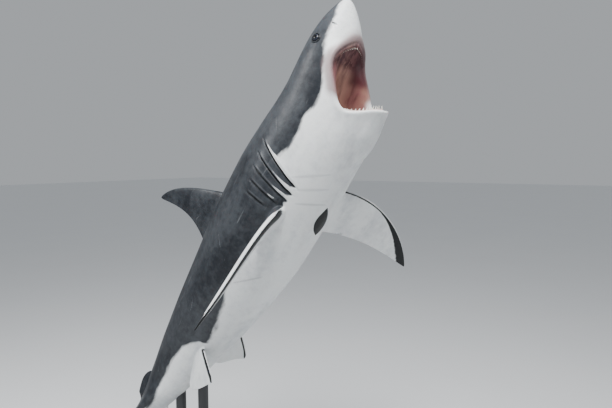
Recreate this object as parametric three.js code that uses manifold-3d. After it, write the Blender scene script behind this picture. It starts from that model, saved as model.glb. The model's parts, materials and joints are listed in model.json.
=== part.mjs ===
// Great white shark, life size, still and gaping, held nose-up by a plain display stand.
//
// The animal is first shaped lying straight, in body coordinates: x = distance behind the snout
// tip, y = towards its left side, z = towards its back. The spine then bends that straight shape:
// the head is lifted and the tail swept to the right. Millimetres, +Z up, origin at the middle of
// the stand's underside, the belly facing -Y and the right side facing -X.
import * as THREE from 'three';
import { mergeVertices } from 'three/addons/utils/BufferGeometryUtils.js';
import Module from 'manifold-3d';

const wasm = await Module();
wasm.setup();

// ---------------------------------------------------------------- driving dimensions

const TOTAL_LENGTH = 4200;              // snout tip to the stretched tip of the upper tail lobe
const PART_GAP = 0.6;                   // thin cut between neighbouring parts
const FIN_EDGE = 4;                     // blunt trailing edge of every fin

// Pose of the spine, in degrees. Stations are fractions of the total length.
const NOSE_UP = 56;
const HEAD_LIFT = 17;
const HEAD_LIFT_FROM = 0.26;
const HEAD_LIFT_TO = 0.08;
const TAIL_SWEEP = 15;
const TAIL_SWEEP_FROM = 0.42;
const TAIL_SWEEP_TO = 0.85;
const ANCHOR_STATION = 0.35;            // the spine passes the anchor point at this station

// Body profile: [station, back height, belly depth, half width], fractions of the total length.
// The throat is the one of an open mouth, with the floor pulled down by the dropped jaw.
const BODY_PROFILE = [
  [0.000, 0.0000, 0.0000, 0.0000],
  [0.012, 0.0152, 0.0140, 0.0168],
  [0.035, 0.0286, 0.0262, 0.0325],
  [0.055, 0.0363, 0.0345, 0.0418],
  [0.080, 0.0430, 0.0600, 0.0500],
  [0.110, 0.0502, 0.0953, 0.0550],
  [0.130, 0.0545, 0.1042, 0.0573],
  [0.160, 0.0617, 0.1000, 0.0610],
  [0.220, 0.0740, 0.0926, 0.0670],
  [0.290, 0.0808, 0.0934, 0.0698],
  [0.370, 0.0817, 0.0928, 0.0681],
  [0.460, 0.0770, 0.0842, 0.0619],
  [0.550, 0.0712, 0.0685, 0.0533],
  [0.640, 0.0592, 0.0512, 0.0406],
  [0.720, 0.0402, 0.0346, 0.0277],
  [0.770, 0.0262, 0.0237, 0.0205],
  [0.800, 0.0210, 0.0201, 0.0177],
  [0.850, 0.0225, 0.0205, 0.0110],
  [0.888, 0.0000, 0.0000, 0.0000],
];

// Keel along each side of the tail stalk.
const KEEL_WIDTH = 0.0150;
const KEEL_MIDDLE = 0.795;
const KEEL_HALF_LENGTH = 0.075;
const KEEL_SHARPNESS = 9;

// Mouth, in the middle plane, seen from the jaw hinge: angles run down from the body axis and
// reaches are distances from the hinge. The dropped lower jaw's rim turns up towards its tip.
const HINGE = { x: 0.138, z: -0.013 };
const UPPER_FRONT = { x: 0.050, z: -0.0325 };
const LOWER_RIM = { nearAngle: 93, tipAngle: 84.5, nearReach: 0.050, tipReach: 0.0915 };
const WEB = { angle: 58, reach: 0.037, rounding: 0.010 };   // straight edge between both jaws
const THROAT_PIT = { x: 0.128, z: -0.052, length: 0.072, width: 0.037, height: 0.036 };

const EYE = { x: 0.0632, z: 0.0070, radius: 30, proud: 14 };
const NOSTRIL = { x: 0.0382, z: -0.0095, length: 22, width: 7, depth: 9, tilt: 75 };

const TEETH_PER_SIDE = 11;
const TOOTH = { height: 32, width: 25, thickness: 11, root: 9 };
const UPPER_TOOTH_SIZE = 0.8;           // the upper teeth stand less far out of the gum
const UPPER_TOOTH_LEAN = 50;            // degrees that the upper teeth lean back into the mouth
const LOWER_TOOTH_LEAN = 8;
const TOOTH_INSET = 0.0085;             // from the lip's edge in to the roots of the teeth
const TOOTH_ROW_FROM = 0.004;           // from the cheek web to the last tooth
const TOOTH_ROW_TURN = 87;              // degrees that the row turns from the middle to its end
const SMALLEST_TOOTH = 0.55;            // size of the last tooth, of the front one
const FRONT_TOOTH_SPREAD = 1.1;         // of half a tooth's width, from the middle to the first one

const GILLS = {
  first: 0.2377, step: 0.0160, count: 5, width: 5, depth: 14, top: 0.028, bottom: -0.056,
};
const GILL_LEAN = 20;                   // degrees that the first slit leans, top forward
const GILL_UPRIGHTING = 5;              // degrees less lean from each slit to the next
const GILL_FLOOR_RISE = 0.022;          // how much higher the last slit ends than the first
const GILL_TOP_DROP = 0.004;            // how much lower each slit begins than the one ahead
const GILL_END_DEPTH = 0.15;            // share of half a wave at which each slit's depth begins

// Where the body is parted into its named lengths.
const JAW_CUT_HEIGHT = -0.040;
const HEAD_CUT = 0.176;
const GILL_CUT = 0.312;
const TRUNK_CUT = 0.420;
const BELLY_CUT = 0.560;
const STALK_CUT = 0.700;
const TAIL_CUT = 0.822;

// Stand.
const BASE = { length: 1500, width: 1150, thickness: 30, corner: 90, chamfer: 4 };
const TAIL_CLEARANCE = 70;              // lowest fin tip above the base plate
const ROD_RADIUS = 38;
const ROD_SIDES = 24;
const FLANGE = { radius: 88, height: 18 };
const FRONT_ROD_STATION = 0.600;
const REAR_ROD_STATION = 0.680;
const BALANCE_STATION = 0.46;
const BALANCE_PLACE = { x: -60, y: -190 };  // where the balance station stands over the base

// ---------------------------------------------------------------- small helpers

const radians = THREE.MathUtils.degToRad;
const smooth = (from, to, value) => THREE.MathUtils.smoothstep((value - from) / (to - from), 0, 1);
const vec = (x, y, z) => new THREE.Vector3(x, y, z);
const scaled = (x, y, z) => vec(x, y, z).multiplyScalar(TOTAL_LENGTH);

// Monotone cubic through [x, y] pairs: it never overshoots its points.
function monotone(xs, ys) {
  const last = xs.length - 1;
  const rise = xs.slice(1).map((x, i) => (ys[i + 1] - ys[i]) / (x - xs[i]));
  const slope = ys.map((_, i) => {
    if (i === 0) return rise[0];
    if (i === last) return rise[last - 1];
    if (rise[i - 1] * rise[i] <= 0) return 0;
    return 2 * rise[i - 1] * rise[i] / (rise[i - 1] + rise[i]);
  });
  return (x) => {
    let i = 0;
    while (i < last - 1 && x > xs[i + 1]) i += 1;
    const h = xs[i + 1] - xs[i];
    const t = THREE.MathUtils.clamp((x - xs[i]) / h, 0, 1);
    const a = (1 + 2 * t) * (1 - t) ** 2;
    const b = t * t * (3 - 2 * t);
    return a * ys[i] + b * ys[i + 1] + h * t * (1 - t) * ((1 - t) * slope[i] - t * slope[i + 1]);
  };
}

// ---------------------------------------------------------------- body shape, lying straight

// The profile is drawn over the root of the station, so that the snout tip is round.
function profileColumn(column) {
  const curve = monotone(BODY_PROFILE.map((row) => Math.sqrt(row[0])),
    BODY_PROFILE.map((row) => row[column]));
  return (station) => curve(Math.sqrt(Math.max(station, 0)));
}
const backHeight = profileColumn(1);
const bellyDepth = profileColumn(2);
const halfWidth = profileColumn(3);

function keel(station, angle) {
  const along = Math.max(0, 1 - ((station - KEEL_MIDDLE) / KEEL_HALF_LENGTH) ** 2);
  return KEEL_WIDTH * along ** 1.5 * Math.abs(Math.sin(angle)) ** KEEL_SHARPNESS;
}

// Point on the skin: angle 0 is the back, 90 degrees the left side, 180 degrees the belly.
function skinPoint(station, angle) {
  const up = Math.cos(angle);
  const side = Math.sin(angle);
  const height = up > 0 ? backHeight(station) : bellyDepth(station);
  const reach = halfWidth(station) * side + Math.sign(side) * keel(station, angle);
  return scaled(station, reach, height * up);
}

// Half width of the body at a height below the middle line.
function widthAt(station, height) {
  const depth = height > 0 ? backHeight(station) : bellyDepth(station);
  return halfWidth(station) * Math.sqrt(Math.max(0, 1 - (height / depth) ** 2));
}

// ---------------------------------------------------------------- spine

const SPINE_STEPS = 400;
const spine = makeSpine();

function makeSpine() {
  const rows = [];
  for (let i = 0; i <= SPINE_STEPS; i += 1) {
    const station = i / SPINE_STEPS;
    const pitch = radians(HEAD_LIFT) * (1 - smooth(HEAD_LIFT_TO, HEAD_LIFT_FROM, station));
    const yaw = radians(TAIL_SWEEP) * smooth(TAIL_SWEEP_FROM, TAIL_SWEEP_TO, station);
    const ahead = vec(Math.cos(pitch) * Math.cos(yaw), Math.sin(yaw), Math.sin(pitch)).normalize();
    const back = vec(-Math.sin(pitch), 0, Math.cos(pitch));
    back.addScaledVector(ahead, -back.dot(ahead)).normalize();
    const left = back.clone().cross(ahead);
    const centre = vec(0, 0, 0);
    if (i > 0) {
      const previous = rows[i - 1];
      const step = previous.ahead.clone().add(ahead).multiplyScalar(-0.5 / SPINE_STEPS);
      centre.copy(previous.centre).add(step);
    }
    rows.push({ centre, ahead, left, back });
  }
  const anchor = rows[Math.round(ANCHOR_STATION * SPINE_STEPS)].centre.clone();
  rows.forEach((row) => row.centre.sub(anchor));
  return rows;
}

// Local frame of the spine at a station, in world directions.
function spineFrame(station) {
  const place = THREE.MathUtils.clamp(station * SPINE_STEPS, 0, SPINE_STEPS - 1e-6);
  const i = Math.floor(place);
  const mix = (key) => spine[i][key].clone().lerp(spine[i + 1][key], place - i);
  return {
    centre: mix('centre').multiplyScalar(TOTAL_LENGTH),
    ahead: mix('ahead').normalize(),
    left: mix('left').normalize(),
    back: mix('back').normalize(),
  };
}

// Nose-up attitude of the whole animal: ahead, left and back of the anchor in world directions.
const ATTITUDE = new THREE.Matrix4().makeBasis(
  vec(0, -Math.cos(radians(NOSE_UP)), Math.sin(radians(NOSE_UP))),
  vec(1, 0, 0),
  vec(0, Math.sin(radians(NOSE_UP)), Math.cos(radians(NOSE_UP))),
);
const standPlace = vec(0, 0, 0);        // set once the lowest fin tip is known

function bendPoint(point) {
  const frame = spineFrame(point.x / TOTAL_LENGTH);
  return frame.centre
    .addScaledVector(frame.left, point.y)
    .addScaledVector(frame.back, point.z)
    .applyMatrix4(ATTITUDE)
    .add(standPlace);
}

// Placement of a straight tool that is modelled around (0, 0, 0) at a station.
function stationMatrix(station, turn = new THREE.Matrix4()) {
  const frame = spineFrame(station);
  const place = new THREE.Matrix4().makeBasis(frame.ahead, frame.left, frame.back);
  place.setPosition(frame.centre);
  place.premultiply(ATTITUDE);
  place.premultiply(new THREE.Matrix4().makeTranslation(standPlace));
  return place.multiply(turn);
}

// ---------------------------------------------------------------- solids

// A closed skin from a warped sphere: around runs 0..1 round it, along 0..1 from end to end.
function closedSkin(around, along, place) {
  const geometry = new THREE.SphereGeometry(1, around, along);
  const { position, uv } = geometry.attributes;
  for (let i = 0; i < position.count; i += 1) {
    const ring = Math.round((1 - uv.getY(i)) * along);
    const round = ring === 0 || ring === along ? 0 : Math.round(uv.getX(i) * around) % around;
    const point = place(round / around, ring / along, round, ring);
    position.setXYZ(i, point.x, point.y, point.z);
  }
  return geometry;
}

function signedVolume(vertices, triangles) {
  const corner = (i) => vec(vertices[3 * i], vertices[3 * i + 1], vertices[3 * i + 2]);
  let sum = 0;
  for (let i = 0; i < triangles.length; i += 3) {
    const [a, b, c] = [corner(triangles[i]), corner(triangles[i + 1]), corner(triangles[i + 2])];
    sum += a.dot(b.cross(c)) / 6;
  }
  return sum;
}

// A manifold solid from a closed geometry, with its faces turned outwards.
function solidOf(geometry) {
  const bare = geometry.clone();
  bare.deleteAttribute('normal');
  bare.deleteAttribute('uv');
  const merged = mergeVertices(bare, 1e-3);
  const vertProperties = Float32Array.from(merged.attributes.position.array);
  const corners = Array.from(merged.index.array);
  const kept = [];
  for (let i = 0; i < corners.length; i += 3) {
    const [a, b, c] = corners.slice(i, i + 3);
    if (a !== b && b !== c && c !== a) kept.push(a, b, c);
  }
  if (signedVolume(vertProperties, kept) < 0) kept.reverse();
  const triVerts = Uint32Array.from(kept);
  return new wasm.Manifold(new wasm.Mesh({ numProp: 3, vertProperties, triVerts }));
}

function geometryOf(solid) {
  const mesh = solid.getMesh();
  const geometry = new THREE.BufferGeometry();
  geometry.setAttribute('position', new THREE.BufferAttribute(mesh.vertProperties.slice(), 3));
  geometry.setIndex(new THREE.BufferAttribute(mesh.triVerts.slice(), 1));
  return geometry;
}

// Bends a straight solid along the spine.
function bent(solid) {
  const geometry = geometryOf(solid);
  const { position } = geometry.attributes;
  const point = vec(0, 0, 0);
  for (let i = 0; i < position.count; i += 1) {
    point.fromBufferAttribute(position, i);
    const moved = bendPoint(point);
    position.setXYZ(i, moved.x, moved.y, moved.z);
  }
  return solidOf(geometry);
}

const placed = (geometry, matrix) => solidOf(geometry.clone().applyMatrix4(matrix));
const union = (solids) => solids.reduce((sum, solid) => sum.add(solid));

// A block around a station: reach ahead of and behind it, sideways, and from low to high.
function block(station, behind, ahead, low, high, side = 0.5) {
  const size = scaled(ahead + behind, 2 * side, high - low);
  const geometry = new THREE.BoxGeometry(size.x, size.y, size.z);
  const middle = scaled((ahead - behind) / 2, 0, (low + high) / 2);
  geometry.translate(middle.x, middle.y, middle.z);
  return placed(geometry, stationMatrix(station));
}

// ---------------------------------------------------------------- body

const BODY_RINGS = 40;
const BODY_SIDES = 24;
const BODY_END = BODY_PROFILE[BODY_PROFILE.length - 1][0];

const CROWDING_AT_ENDS = 0.085;
const CROWDING_AT_SNOUT = 0.03;

// Rings are closer together at the snout and at the end of the tail stalk.
function bodyStation(along) {
  const turn = Math.PI * along;
  const crowding = CROWDING_AT_ENDS * Math.sin(2 * turn) + CROWDING_AT_SNOUT * Math.sin(turn);
  return BODY_END * (along - crowding);
}

function bodySolid() {
  return solidOf(closedSkin(BODY_SIDES, BODY_RINGS,
    (round, along) => skinPoint(bodyStation(along), 2 * Math.PI * round)));
}

// ---------------------------------------------------------------- mouth

const UPPER_ANGLE = Math.atan2(HINGE.z - UPPER_FRONT.z, HINGE.x - UPPER_FRONT.x);
const UPPER_JAW_REACH = Math.hypot(UPPER_FRONT.x - HINGE.x, UPPER_FRONT.z - HINGE.z);

// Angle of each jaw's rim at a reach from the hinge.
const upperAngle = () => UPPER_ANGLE;
function lowerAngle(reach) {
  const { nearAngle, tipAngle, nearReach, tipReach } = LOWER_RIM;
  return radians(THREE.MathUtils.lerp(nearAngle, tipAngle, smooth(nearReach, tipReach, reach)));
}

// Direction away from the hinge, and the point at a reach along it, in fractions of the length.
const jawDirection = (angle) => vec(-Math.cos(angle), 0, -Math.sin(angle));
const jawPoint = (angleAt, reach) => (
  jawDirection(angleAt(reach)).multiplyScalar(reach).add(vec(HINGE.x, 0, HINGE.z))
);

// Reach at which a jaw's rim meets the cheek web.
const cornerReach = (angleAt) => WEB.reach / Math.cos(angleAt(0) - radians(WEB.angle));

const RIM_STEPS = 6;
const BEYOND_LIPS = 0.3;                // reach that lies well outside the body

// The gape: all that lies between both jaws' rims and the cheek web, cut right across.
function gapeSolid() {
  const upperCorner = jawPoint(upperAngle, cornerReach(upperAngle));
  const lowerCorner = jawPoint(lowerAngle, cornerReach(lowerAngle));
  const round = WEB.rounding / upperCorner.distanceTo(lowerCorner);
  const webTop = upperCorner.clone().lerp(lowerCorner, round);
  const webFoot = lowerCorner.clone().lerp(upperCorner, round);
  const outline = new THREE.Shape();
  const lineTo = (point) => outline.lineTo(point.x, point.z);
  const roundTo = (corner, point) => outline.quadraticCurveTo(corner.x, corner.z, point.x, point.z);
  const start = jawPoint(upperAngle, BEYOND_LIPS);
  outline.moveTo(start.x, start.z);
  lineTo(jawPoint(upperAngle, cornerReach(upperAngle) + WEB.rounding));
  roundTo(upperCorner, webTop);
  lineTo(webFoot);
  const rimStart = cornerReach(lowerAngle) + WEB.rounding;
  roundTo(lowerCorner, jawPoint(lowerAngle, rimStart));
  for (let i = 1; i <= RIM_STEPS; i += 1) {
    lineTo(jawPoint(lowerAngle, THREE.MathUtils.lerp(rimStart, LOWER_RIM.tipReach, i / RIM_STEPS)));
  }
  lineTo(jawPoint(lowerAngle, BEYOND_LIPS));
  const geometry = new THREE.ExtrudeGeometry(outline, { depth: 1, bevelEnabled: false, curveSegments: 4 });
  geometry.translate(0, 0, -0.5);
  geometry.rotateX(Math.PI / 2);
  geometry.scale(TOTAL_LENGTH, TOTAL_LENGTH, TOTAL_LENGTH);
  return solidOf(geometry);
}

function throatPitSolid() {
  const geometry = new THREE.SphereGeometry(1, 18, 12);
  geometry.rotateZ(Math.PI / 2);
  geometry.scale(THROAT_PIT.length, THROAT_PIT.width, THROAT_PIT.height);
  geometry.translate(THROAT_PIT.x, 0, THROAT_PIT.z);
  geometry.scale(TOTAL_LENGTH, TOTAL_LENGTH, TOTAL_LENGTH);
  return solidOf(geometry);
}

// Row of teeth on one jaw, standing on the rim between the lip and the throat.
// inward is 1 for the upper jaw and -1 for the lower one.
function toothRow({ angleAt, reach, lean, size, inward }) {
  const teeth = [];
  const last = cornerReach(angleAt) + TOOTH_ROW_FROM;
  const count = 2 * TEETH_PER_SIDE;
  for (let i = 0; i < count; i += 1) {
    const share = (2 * i + 1) / count - 1;
    const turn = share * radians(TOOTH_ROW_TURN);
    const out = last + (reach - TOOTH_INSET - last) * Math.cos(turn);
    const edge = jawPoint(angleAt, out + TOOTH_INSET * Math.cos(turn));
    const half = widthAt(edge.x, edge.z) - TOOTH_INSET * Math.abs(Math.sin(turn));
    const nearest = TOOTH.width / 2 * FRONT_TOOTH_SPREAD / TOTAL_LENGTH;
    const foot = jawPoint(angleAt, out);
    foot.y = Math.sign(turn) * Math.max(half, nearest);
    const direction = jawDirection(angleAt(out));
    const upright = vec(-direction.z, 0, direction.x).multiplyScalar(inward);
    const grown = size * (1 - (1 - SMALLEST_TOOTH) * share ** 2);
    teeth.push(tooth(foot.multiplyScalar(TOTAL_LENGTH), direction, upright, turn, grown, lean));
  }
  return union(teeth);
}

// One triangular tooth: its flat faces look out of and into the mouth.
function tooth(foot, direction, upright, turn, size, lean) {
  const height = (TOOTH.height + TOOTH.root) * size;
  const geometry = new THREE.ConeGeometry(1, height, 4, 1);
  geometry.translate(0, height / 2 - TOOTH.root, 0);
  geometry.scale(TOOTH.width / 2 * size, 1, TOOTH.thickness / 2 * size);
  geometry.rotateX(-radians(lean));
  const outward = direction.clone().multiplyScalar(Math.cos(turn));
  outward.y = Math.sin(turn);
  const across = upright.clone().cross(outward).normalize();
  const matrix = new THREE.Matrix4().makeBasis(across, upright, outward);
  matrix.setPosition(foot);
  return solidOf(geometry.applyMatrix4(matrix));
}

const UPPER_ROW = {
  angleAt: upperAngle, reach: UPPER_JAW_REACH, lean: UPPER_TOOTH_LEAN, size: UPPER_TOOTH_SIZE, inward: 1,
};
const LOWER_ROW = {
  angleAt: lowerAngle, reach: LOWER_RIM.tipReach, lean: LOWER_TOOTH_LEAN, size: 1, inward: -1,
};

// ---------------------------------------------------------------- eyes, nostrils, gill slits

// Where a line straight out to the side leaves the skin.
function sidePoint(station, height, side) {
  return scaled(station, side * widthAt(station, height), height);
}

function eyeCentre(side) {
  const centre = sidePoint(EYE.x, EYE.z, side);
  centre.y -= side * (EYE.radius - EYE.proud);
  return centre;
}

function eyeGeometry(radius, side) {
  const geometry = new THREE.SphereGeometry(radius, 12, 8);
  geometry.rotateX(Math.PI / 2);
  geometry.translate(...eyeCentre(side).toArray());
  return geometry;
}

function nostrilSolid(side) {
  const geometry = new THREE.SphereGeometry(1, 10, 6);
  geometry.scale(NOSTRIL.length, NOSTRIL.depth, NOSTRIL.width);
  geometry.rotateY(radians(NOSTRIL.tilt));
  geometry.translate(...sidePoint(NOSTRIL.x, NOSTRIL.z, side).toArray());
  return solidOf(geometry);
}

// One gill slit: a thin bowed plate that follows the skin and reaches a little way in.
function gillSlit(index, side) {
  const rows = 5;
  const overshoot = 2;
  const corners = [[-0.5, -1], [0.5, -1], [0.5, 1], [-0.5, 1]];
  const middle = (GILLS.top + GILLS.bottom) / 2;
  return solidOf(closedSkin(4, rows, (_, __, corner, ring) => {
    const level = THREE.MathUtils.clamp((ring - 1) / (rows - 2), 0, 1);
    const floor = GILLS.bottom + GILL_FLOOR_RISE * (index / (GILLS.count - 1)) ** 3;
    const height = THREE.MathUtils.lerp(floor, GILLS.top - GILL_TOP_DROP * index, level);
    const lean = radians(GILL_LEAN - GILL_UPRIGHTING * index);
    const station = GILLS.first + GILLS.step * index - (height - middle) * Math.tan(lean);
    const [across, deep] = ring === 0 || ring === rows ? [0, 0] : corners[corner];
    const wave = THREE.MathUtils.lerp(GILL_END_DEPTH, 1 - GILL_END_DEPTH, level);
    const point = sidePoint(station, height, side);
    point.x += across * GILLS.width;
    point.y += side * deep * GILLS.depth * Math.sin(Math.PI * wave);
    if (ring === 0) point.z -= overshoot;
    if (ring === rows) point.z += overshoot;
    return point;
  }));
}

// ---------------------------------------------------------------- fins

const FIN_ROUND = 13;
const TIP_ROUNDING = 14;                // the higher, the shorter the round end of a fin
const TIP_CHORD = 0.2;                  // chord left at the very tip, of the unrounded one
const FIN_ALONG = 9;
const FIN_EASE = 0.9;                   // crowds a fin's rings towards its tip
const FIN_THINNING = 0.8;               // how fast a fin grows thinner towards its tip
const FLARE_END = 0.35;                 // share of the span up to which the root swells
const BLADE_SECTION = { scale: 2.6, front: 0.5, rear: 1.15 };  // blunt in front, fine behind

const curve3 = (points) => new THREE.CubicBezierCurve3(...points.map((p) => scaled(...p)));

// A fin blade between a leading and a trailing curve, both from the root to the tip.
// thick and flare: thickness at the root and the extra one where it swells into the body.
function finSolid({ lead, trail, normal, thick, tipThick = 7, flare = 0, along = FIN_ALONG }) {
  const leading = curve3(lead);
  const trailing = curve3(trail);
  const place = (_, __, corner, ring) => {
    const span = THREE.MathUtils.clamp((ring - 1) / (along - 2), 0, 1);
    const eased = Math.sin(span * Math.PI / 2) ** FIN_EASE;
    const front = leading.getPoint(eased);
    const chord = trailing.getPoint(eased).sub(front);
    const rounding = Math.max(TIP_CHORD, Math.sqrt(1 - eased ** TIP_ROUNDING));
    front.addScaledVector(chord, (1 - rounding) / 2);
    chord.multiplyScalar(rounding);
    if (ring === 0 || ring === along) return front.addScaledVector(chord, 0.5);
    const round = ((corner || FIN_ROUND) - 1) / (FIN_ROUND - 1);
    const x = (1 + Math.cos(2 * Math.PI * round)) / 2;
    const body = BLADE_SECTION.scale * x ** BLADE_SECTION.front * (1 - x) ** BLADE_SECTION.rear;
    const swell = flare * Math.max(0, 1 - eased / FLARE_END) ** 2;
    const thickness = tipThick + (thick - tipThick) * (1 - eased) ** FIN_THINNING + swell;
    const half = (FIN_EDGE * x + thickness * body) / 2;
    const face = round < 0.5 ? half : -half;
    return front.addScaledVector(chord, x).addScaledVector(normal, round === 0.5 ? 0 : face);
  };
  return solidOf(closedSkin(FIN_ROUND, along, place));
}

const SIDEWAYS = vec(0, 1, 0);

const FIRST_DORSAL = {
  lead: [[0.350, 0, 0.058], [0.379, 0, 0.102], [0.407, 0, 0.180], [0.461, 0, 0.216]],
  trail: [[0.480, 0, 0.062], [0.473, 0, 0.088], [0.428, 0, 0.129], [0.474, 0, 0.2105]],
  normal: SIDEWAYS, thick: 66, flare: 50,
};
const SECOND_DORSAL = {
  lead: [[0.726, 0, 0.030], [0.738, 0, 0.0488], [0.754, 0, 0.0536], [0.779, 0, 0.0387]],
  trail: [[0.792, 0, 0.016], [0.797, 0, 0.024], [0.782, 0, 0.0297], [0.786, 0, 0.0357]],
  normal: SIDEWAYS, thick: 20, flare: 16, along: 6,
};
const ANAL = {
  lead: [[0.750, 0, -0.020], [0.758, 0, -0.034], [0.765, 0, -0.045], [0.773, 0, -0.0470]],
  trail: [[0.777, 0, -0.017], [0.789, 0, -0.029], [0.774, 0, -0.036], [0.778, 0, -0.0455]],
  normal: SIDEWAYS, thick: 20, flare: 14, along: 6,
};
const UPPER_TAIL = {
  lead: [[0.812, 0, -0.004], [0.838, 0, 0.046], [0.885, 0, 0.112], [0.968, 0, 0.158]],
  trail: [[0.882, 0, -0.004], [0.886, 0, 0.040], [0.912, 0, 0.092], [0.974, 0, 0.152]],
  normal: SIDEWAYS, thick: 70, flare: 26, along: 11,
};
const LOWER_TAIL = {
  lead: [[0.818, 0, 0.004], [0.836, 0, -0.040], [0.868, 0, -0.092], [0.925, 0, -0.128]],
  trail: [[0.882, 0, 0.004], [0.884, 0, -0.036], [0.892, 0, -0.078], [0.930, 0, -0.122]],
  normal: SIDEWAYS, thick: 62, flare: 24,
};

// Paired fins are given with y away from the middle. Both pairs are held unevenly: the left
// pectoral is spread forward and the right one swept back, and the right pelvic hangs lower.
const PECTORAL_BLADE = { thick: 66, flare: 26, tipThick: 9 };
const PECTORAL_LEFT = {
  lead: [[0.266, 0.045, -0.045], [0.249, 0.129, -0.078], [0.292, 0.213, -0.124], [0.370, 0.262, -0.159]],
  trail: [[0.345, 0.045, -0.050], [0.338, 0.109, -0.074], [0.339, 0.174, -0.114], [0.379, 0.258, -0.159]],
  ...PECTORAL_BLADE,
};
const PECTORAL_RIGHT = {
  lead: [[0.288, 0.046, -0.048], [0.293, 0.137, -0.077], [0.308, 0.214, -0.127], [0.367, 0.270, -0.148]],
  trail: [[0.358, 0.043, -0.037], [0.358, 0.114, -0.070], [0.340, 0.183, -0.111], [0.374, 0.267, -0.148]],
  ...PECTORAL_BLADE,
};
const PELVIC_BLADE = { thick: 34, flare: 22, tipThick: 6 };
const PELVIC_LEFT = {
  lead: [[0.560, 0.029, -0.045], [0.582, 0.040, -0.063], [0.598, 0.048, -0.074], [0.607, 0.056, -0.073]],
  trail: [[0.636, 0.012, -0.046], [0.639, 0.027, -0.055], [0.613, 0.043, -0.062], [0.615, 0.054, -0.073]],
  ...PELVIC_BLADE,
};
const PELVIC_RIGHT = {
  lead: [[0.592, 0.033, -0.032], [0.598, 0.042, -0.053], [0.599, 0.052, -0.076], [0.604, 0.062, -0.099]],
  trail: [[0.656, 0.017, -0.034], [0.696, 0.027, -0.058], [0.663, 0.040, -0.071], [0.612, 0.060, -0.097]],
  ...PELVIC_BLADE,
};

function pairedFin(fin, side) {
  const mirror = (points) => points.map(([x, y, z]) => [x, side * y, z]);
  const root = curve3(fin.lead).getPoint(0);
  const span = curve3(fin.lead).getPoint(1).sub(root);
  const chord = curve3(fin.trail).getPoint(0).sub(root);
  const normal = span.cross(chord).normalize().multiply(vec(1, side, 1));
  return finSolid({ ...fin, lead: mirror(fin.lead), trail: mirror(fin.trail), normal });
}

// ---------------------------------------------------------------- the animal in one piece

const straightBody = bodySolid().subtract(gapeSolid()).subtract(throatPitSolid());
const gills = [-1, 1].flatMap((side) => [...Array(GILLS.count).keys()].map((i) => gillSlit(i, side)));
const carvedBody = straightBody
  .subtract(union([nostrilSolid(-1), nostrilSolid(1)]))
  .subtract(union(gills));

// The stand is placed under the bent animal: lowest fin tip above the base, belly over its middle.
function settleOnStand() {
  const rough = bent(straightBody.add(finSolid(UPPER_TAIL)).add(finSolid(LOWER_TAIL)));
  const bounds = new THREE.Box3().setFromBufferAttribute(geometryOf(rough).attributes.position);
  const balance = bendPoint(scaled(BALANCE_STATION, 0, 0));
  const lift = BASE.thickness + TAIL_CLEARANCE - bounds.min.z;
  standPlace.set(BALANCE_PLACE.x - balance.x, BALANCE_PLACE.y - balance.y, lift);
}
settleOnStand();

const body = bent(carvedBody);
const fins = {
  first_dorsal_fin: bent(finSolid(FIRST_DORSAL)),
  second_dorsal_fin: bent(finSolid(SECOND_DORSAL)),
  anal_fin: bent(finSolid(ANAL)),
  upper_tail_lobe: bent(finSolid(UPPER_TAIL)),
  lower_tail_lobe: bent(finSolid(LOWER_TAIL)),
  pectoral_fin_left: bent(pairedFin(PECTORAL_LEFT, 1)),
  pectoral_fin_right: bent(pairedFin(PECTORAL_RIGHT, -1)),
  pelvic_fin_left: bent(pairedFin(PELVIC_LEFT, 1)),
  pelvic_fin_right: bent(pairedFin(PELVIC_RIGHT, -1)),
};
const upperTeeth = bent(toothRow(UPPER_ROW));
const lowerTeeth = bent(toothRow(LOWER_ROW));

// ---------------------------------------------------------------- parting into named pieces

const BEYOND = 1.2;                     // size of a cutting block that reaches past the animal

// Everything ahead of a station, out to the snout.
const aheadOf = (station) => block(station, 0, BEYOND, -BEYOND / 2, BEYOND / 2, BEYOND);
const HALF_GAP = PART_GAP / 2 / TOTAL_LENGTH;

function pieceBetween(solid, front, rear) {
  const capped = rear === null ? solid : solid.intersect(aheadOf(rear - HALF_GAP));
  return front === null ? capped : capped.subtract(aheadOf(front + HALF_GAP));
}

const SLOPE_STEP = 0.004;               // step over which the skin's slope is measured

// Half space outside the plane that touches the skin at a station and angle.
// shift moves the plane outwards, in millimetres.
function outsideOf(station, angle, shift) {
  const step = SLOPE_STEP;
  const along = skinPoint(station + step, angle).sub(skinPoint(station - step, angle));
  const around = skinPoint(station, angle + step).sub(skinPoint(station, angle - step));
  const normal = along.cross(around).normalize();
  const point = skinPoint(station, angle);
  if (normal.dot(vec(0, point.y, point.z)) < 0) normal.negate();
  normal.x *= -1;
  const geometry = new THREE.BoxGeometry(TOTAL_LENGTH, TOTAL_LENGTH, TOTAL_LENGTH / 2);
  geometry.translate(0, 0, TOTAL_LENGTH / 4 + shift);
  geometry.applyQuaternion(new THREE.Quaternion().setFromUnitVectors(vec(0, 0, 1), normal));
  geometry.translate(0, point.y, point.z);
  return placed(geometry, stationMatrix(station));
}

// Where each fin is parted from the body: station, angle round the body, distance off the skin.
const FIN_ROOTS = {
  first_dorsal_fin: [0.415, 0, 16],
  second_dorsal_fin: [0.758, 0, 10],
  anal_fin: [0.764, Math.PI, 5],
  pectoral_fin_left: [0.306, radians(127), 20],
  pectoral_fin_right: [0.318, radians(-127), 20],
  pelvic_fin_left: [0.600, radians(150), 7],
  pelvic_fin_right: [0.622, radians(-142), 7],
};

let wholeBody = body.add(fins.upper_tail_lobe).add(fins.lower_tail_lobe);
const finPieces = {};
for (const [name, [station, angle, off]] of Object.entries(FIN_ROOTS)) {
  finPieces[name] = fins[name].intersect(outsideOf(station, angle, off + PART_GAP / 2));
  wholeBody = wholeBody.add(fins[name].subtract(outsideOf(station, angle, off - PART_GAP / 2)));
}

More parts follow.
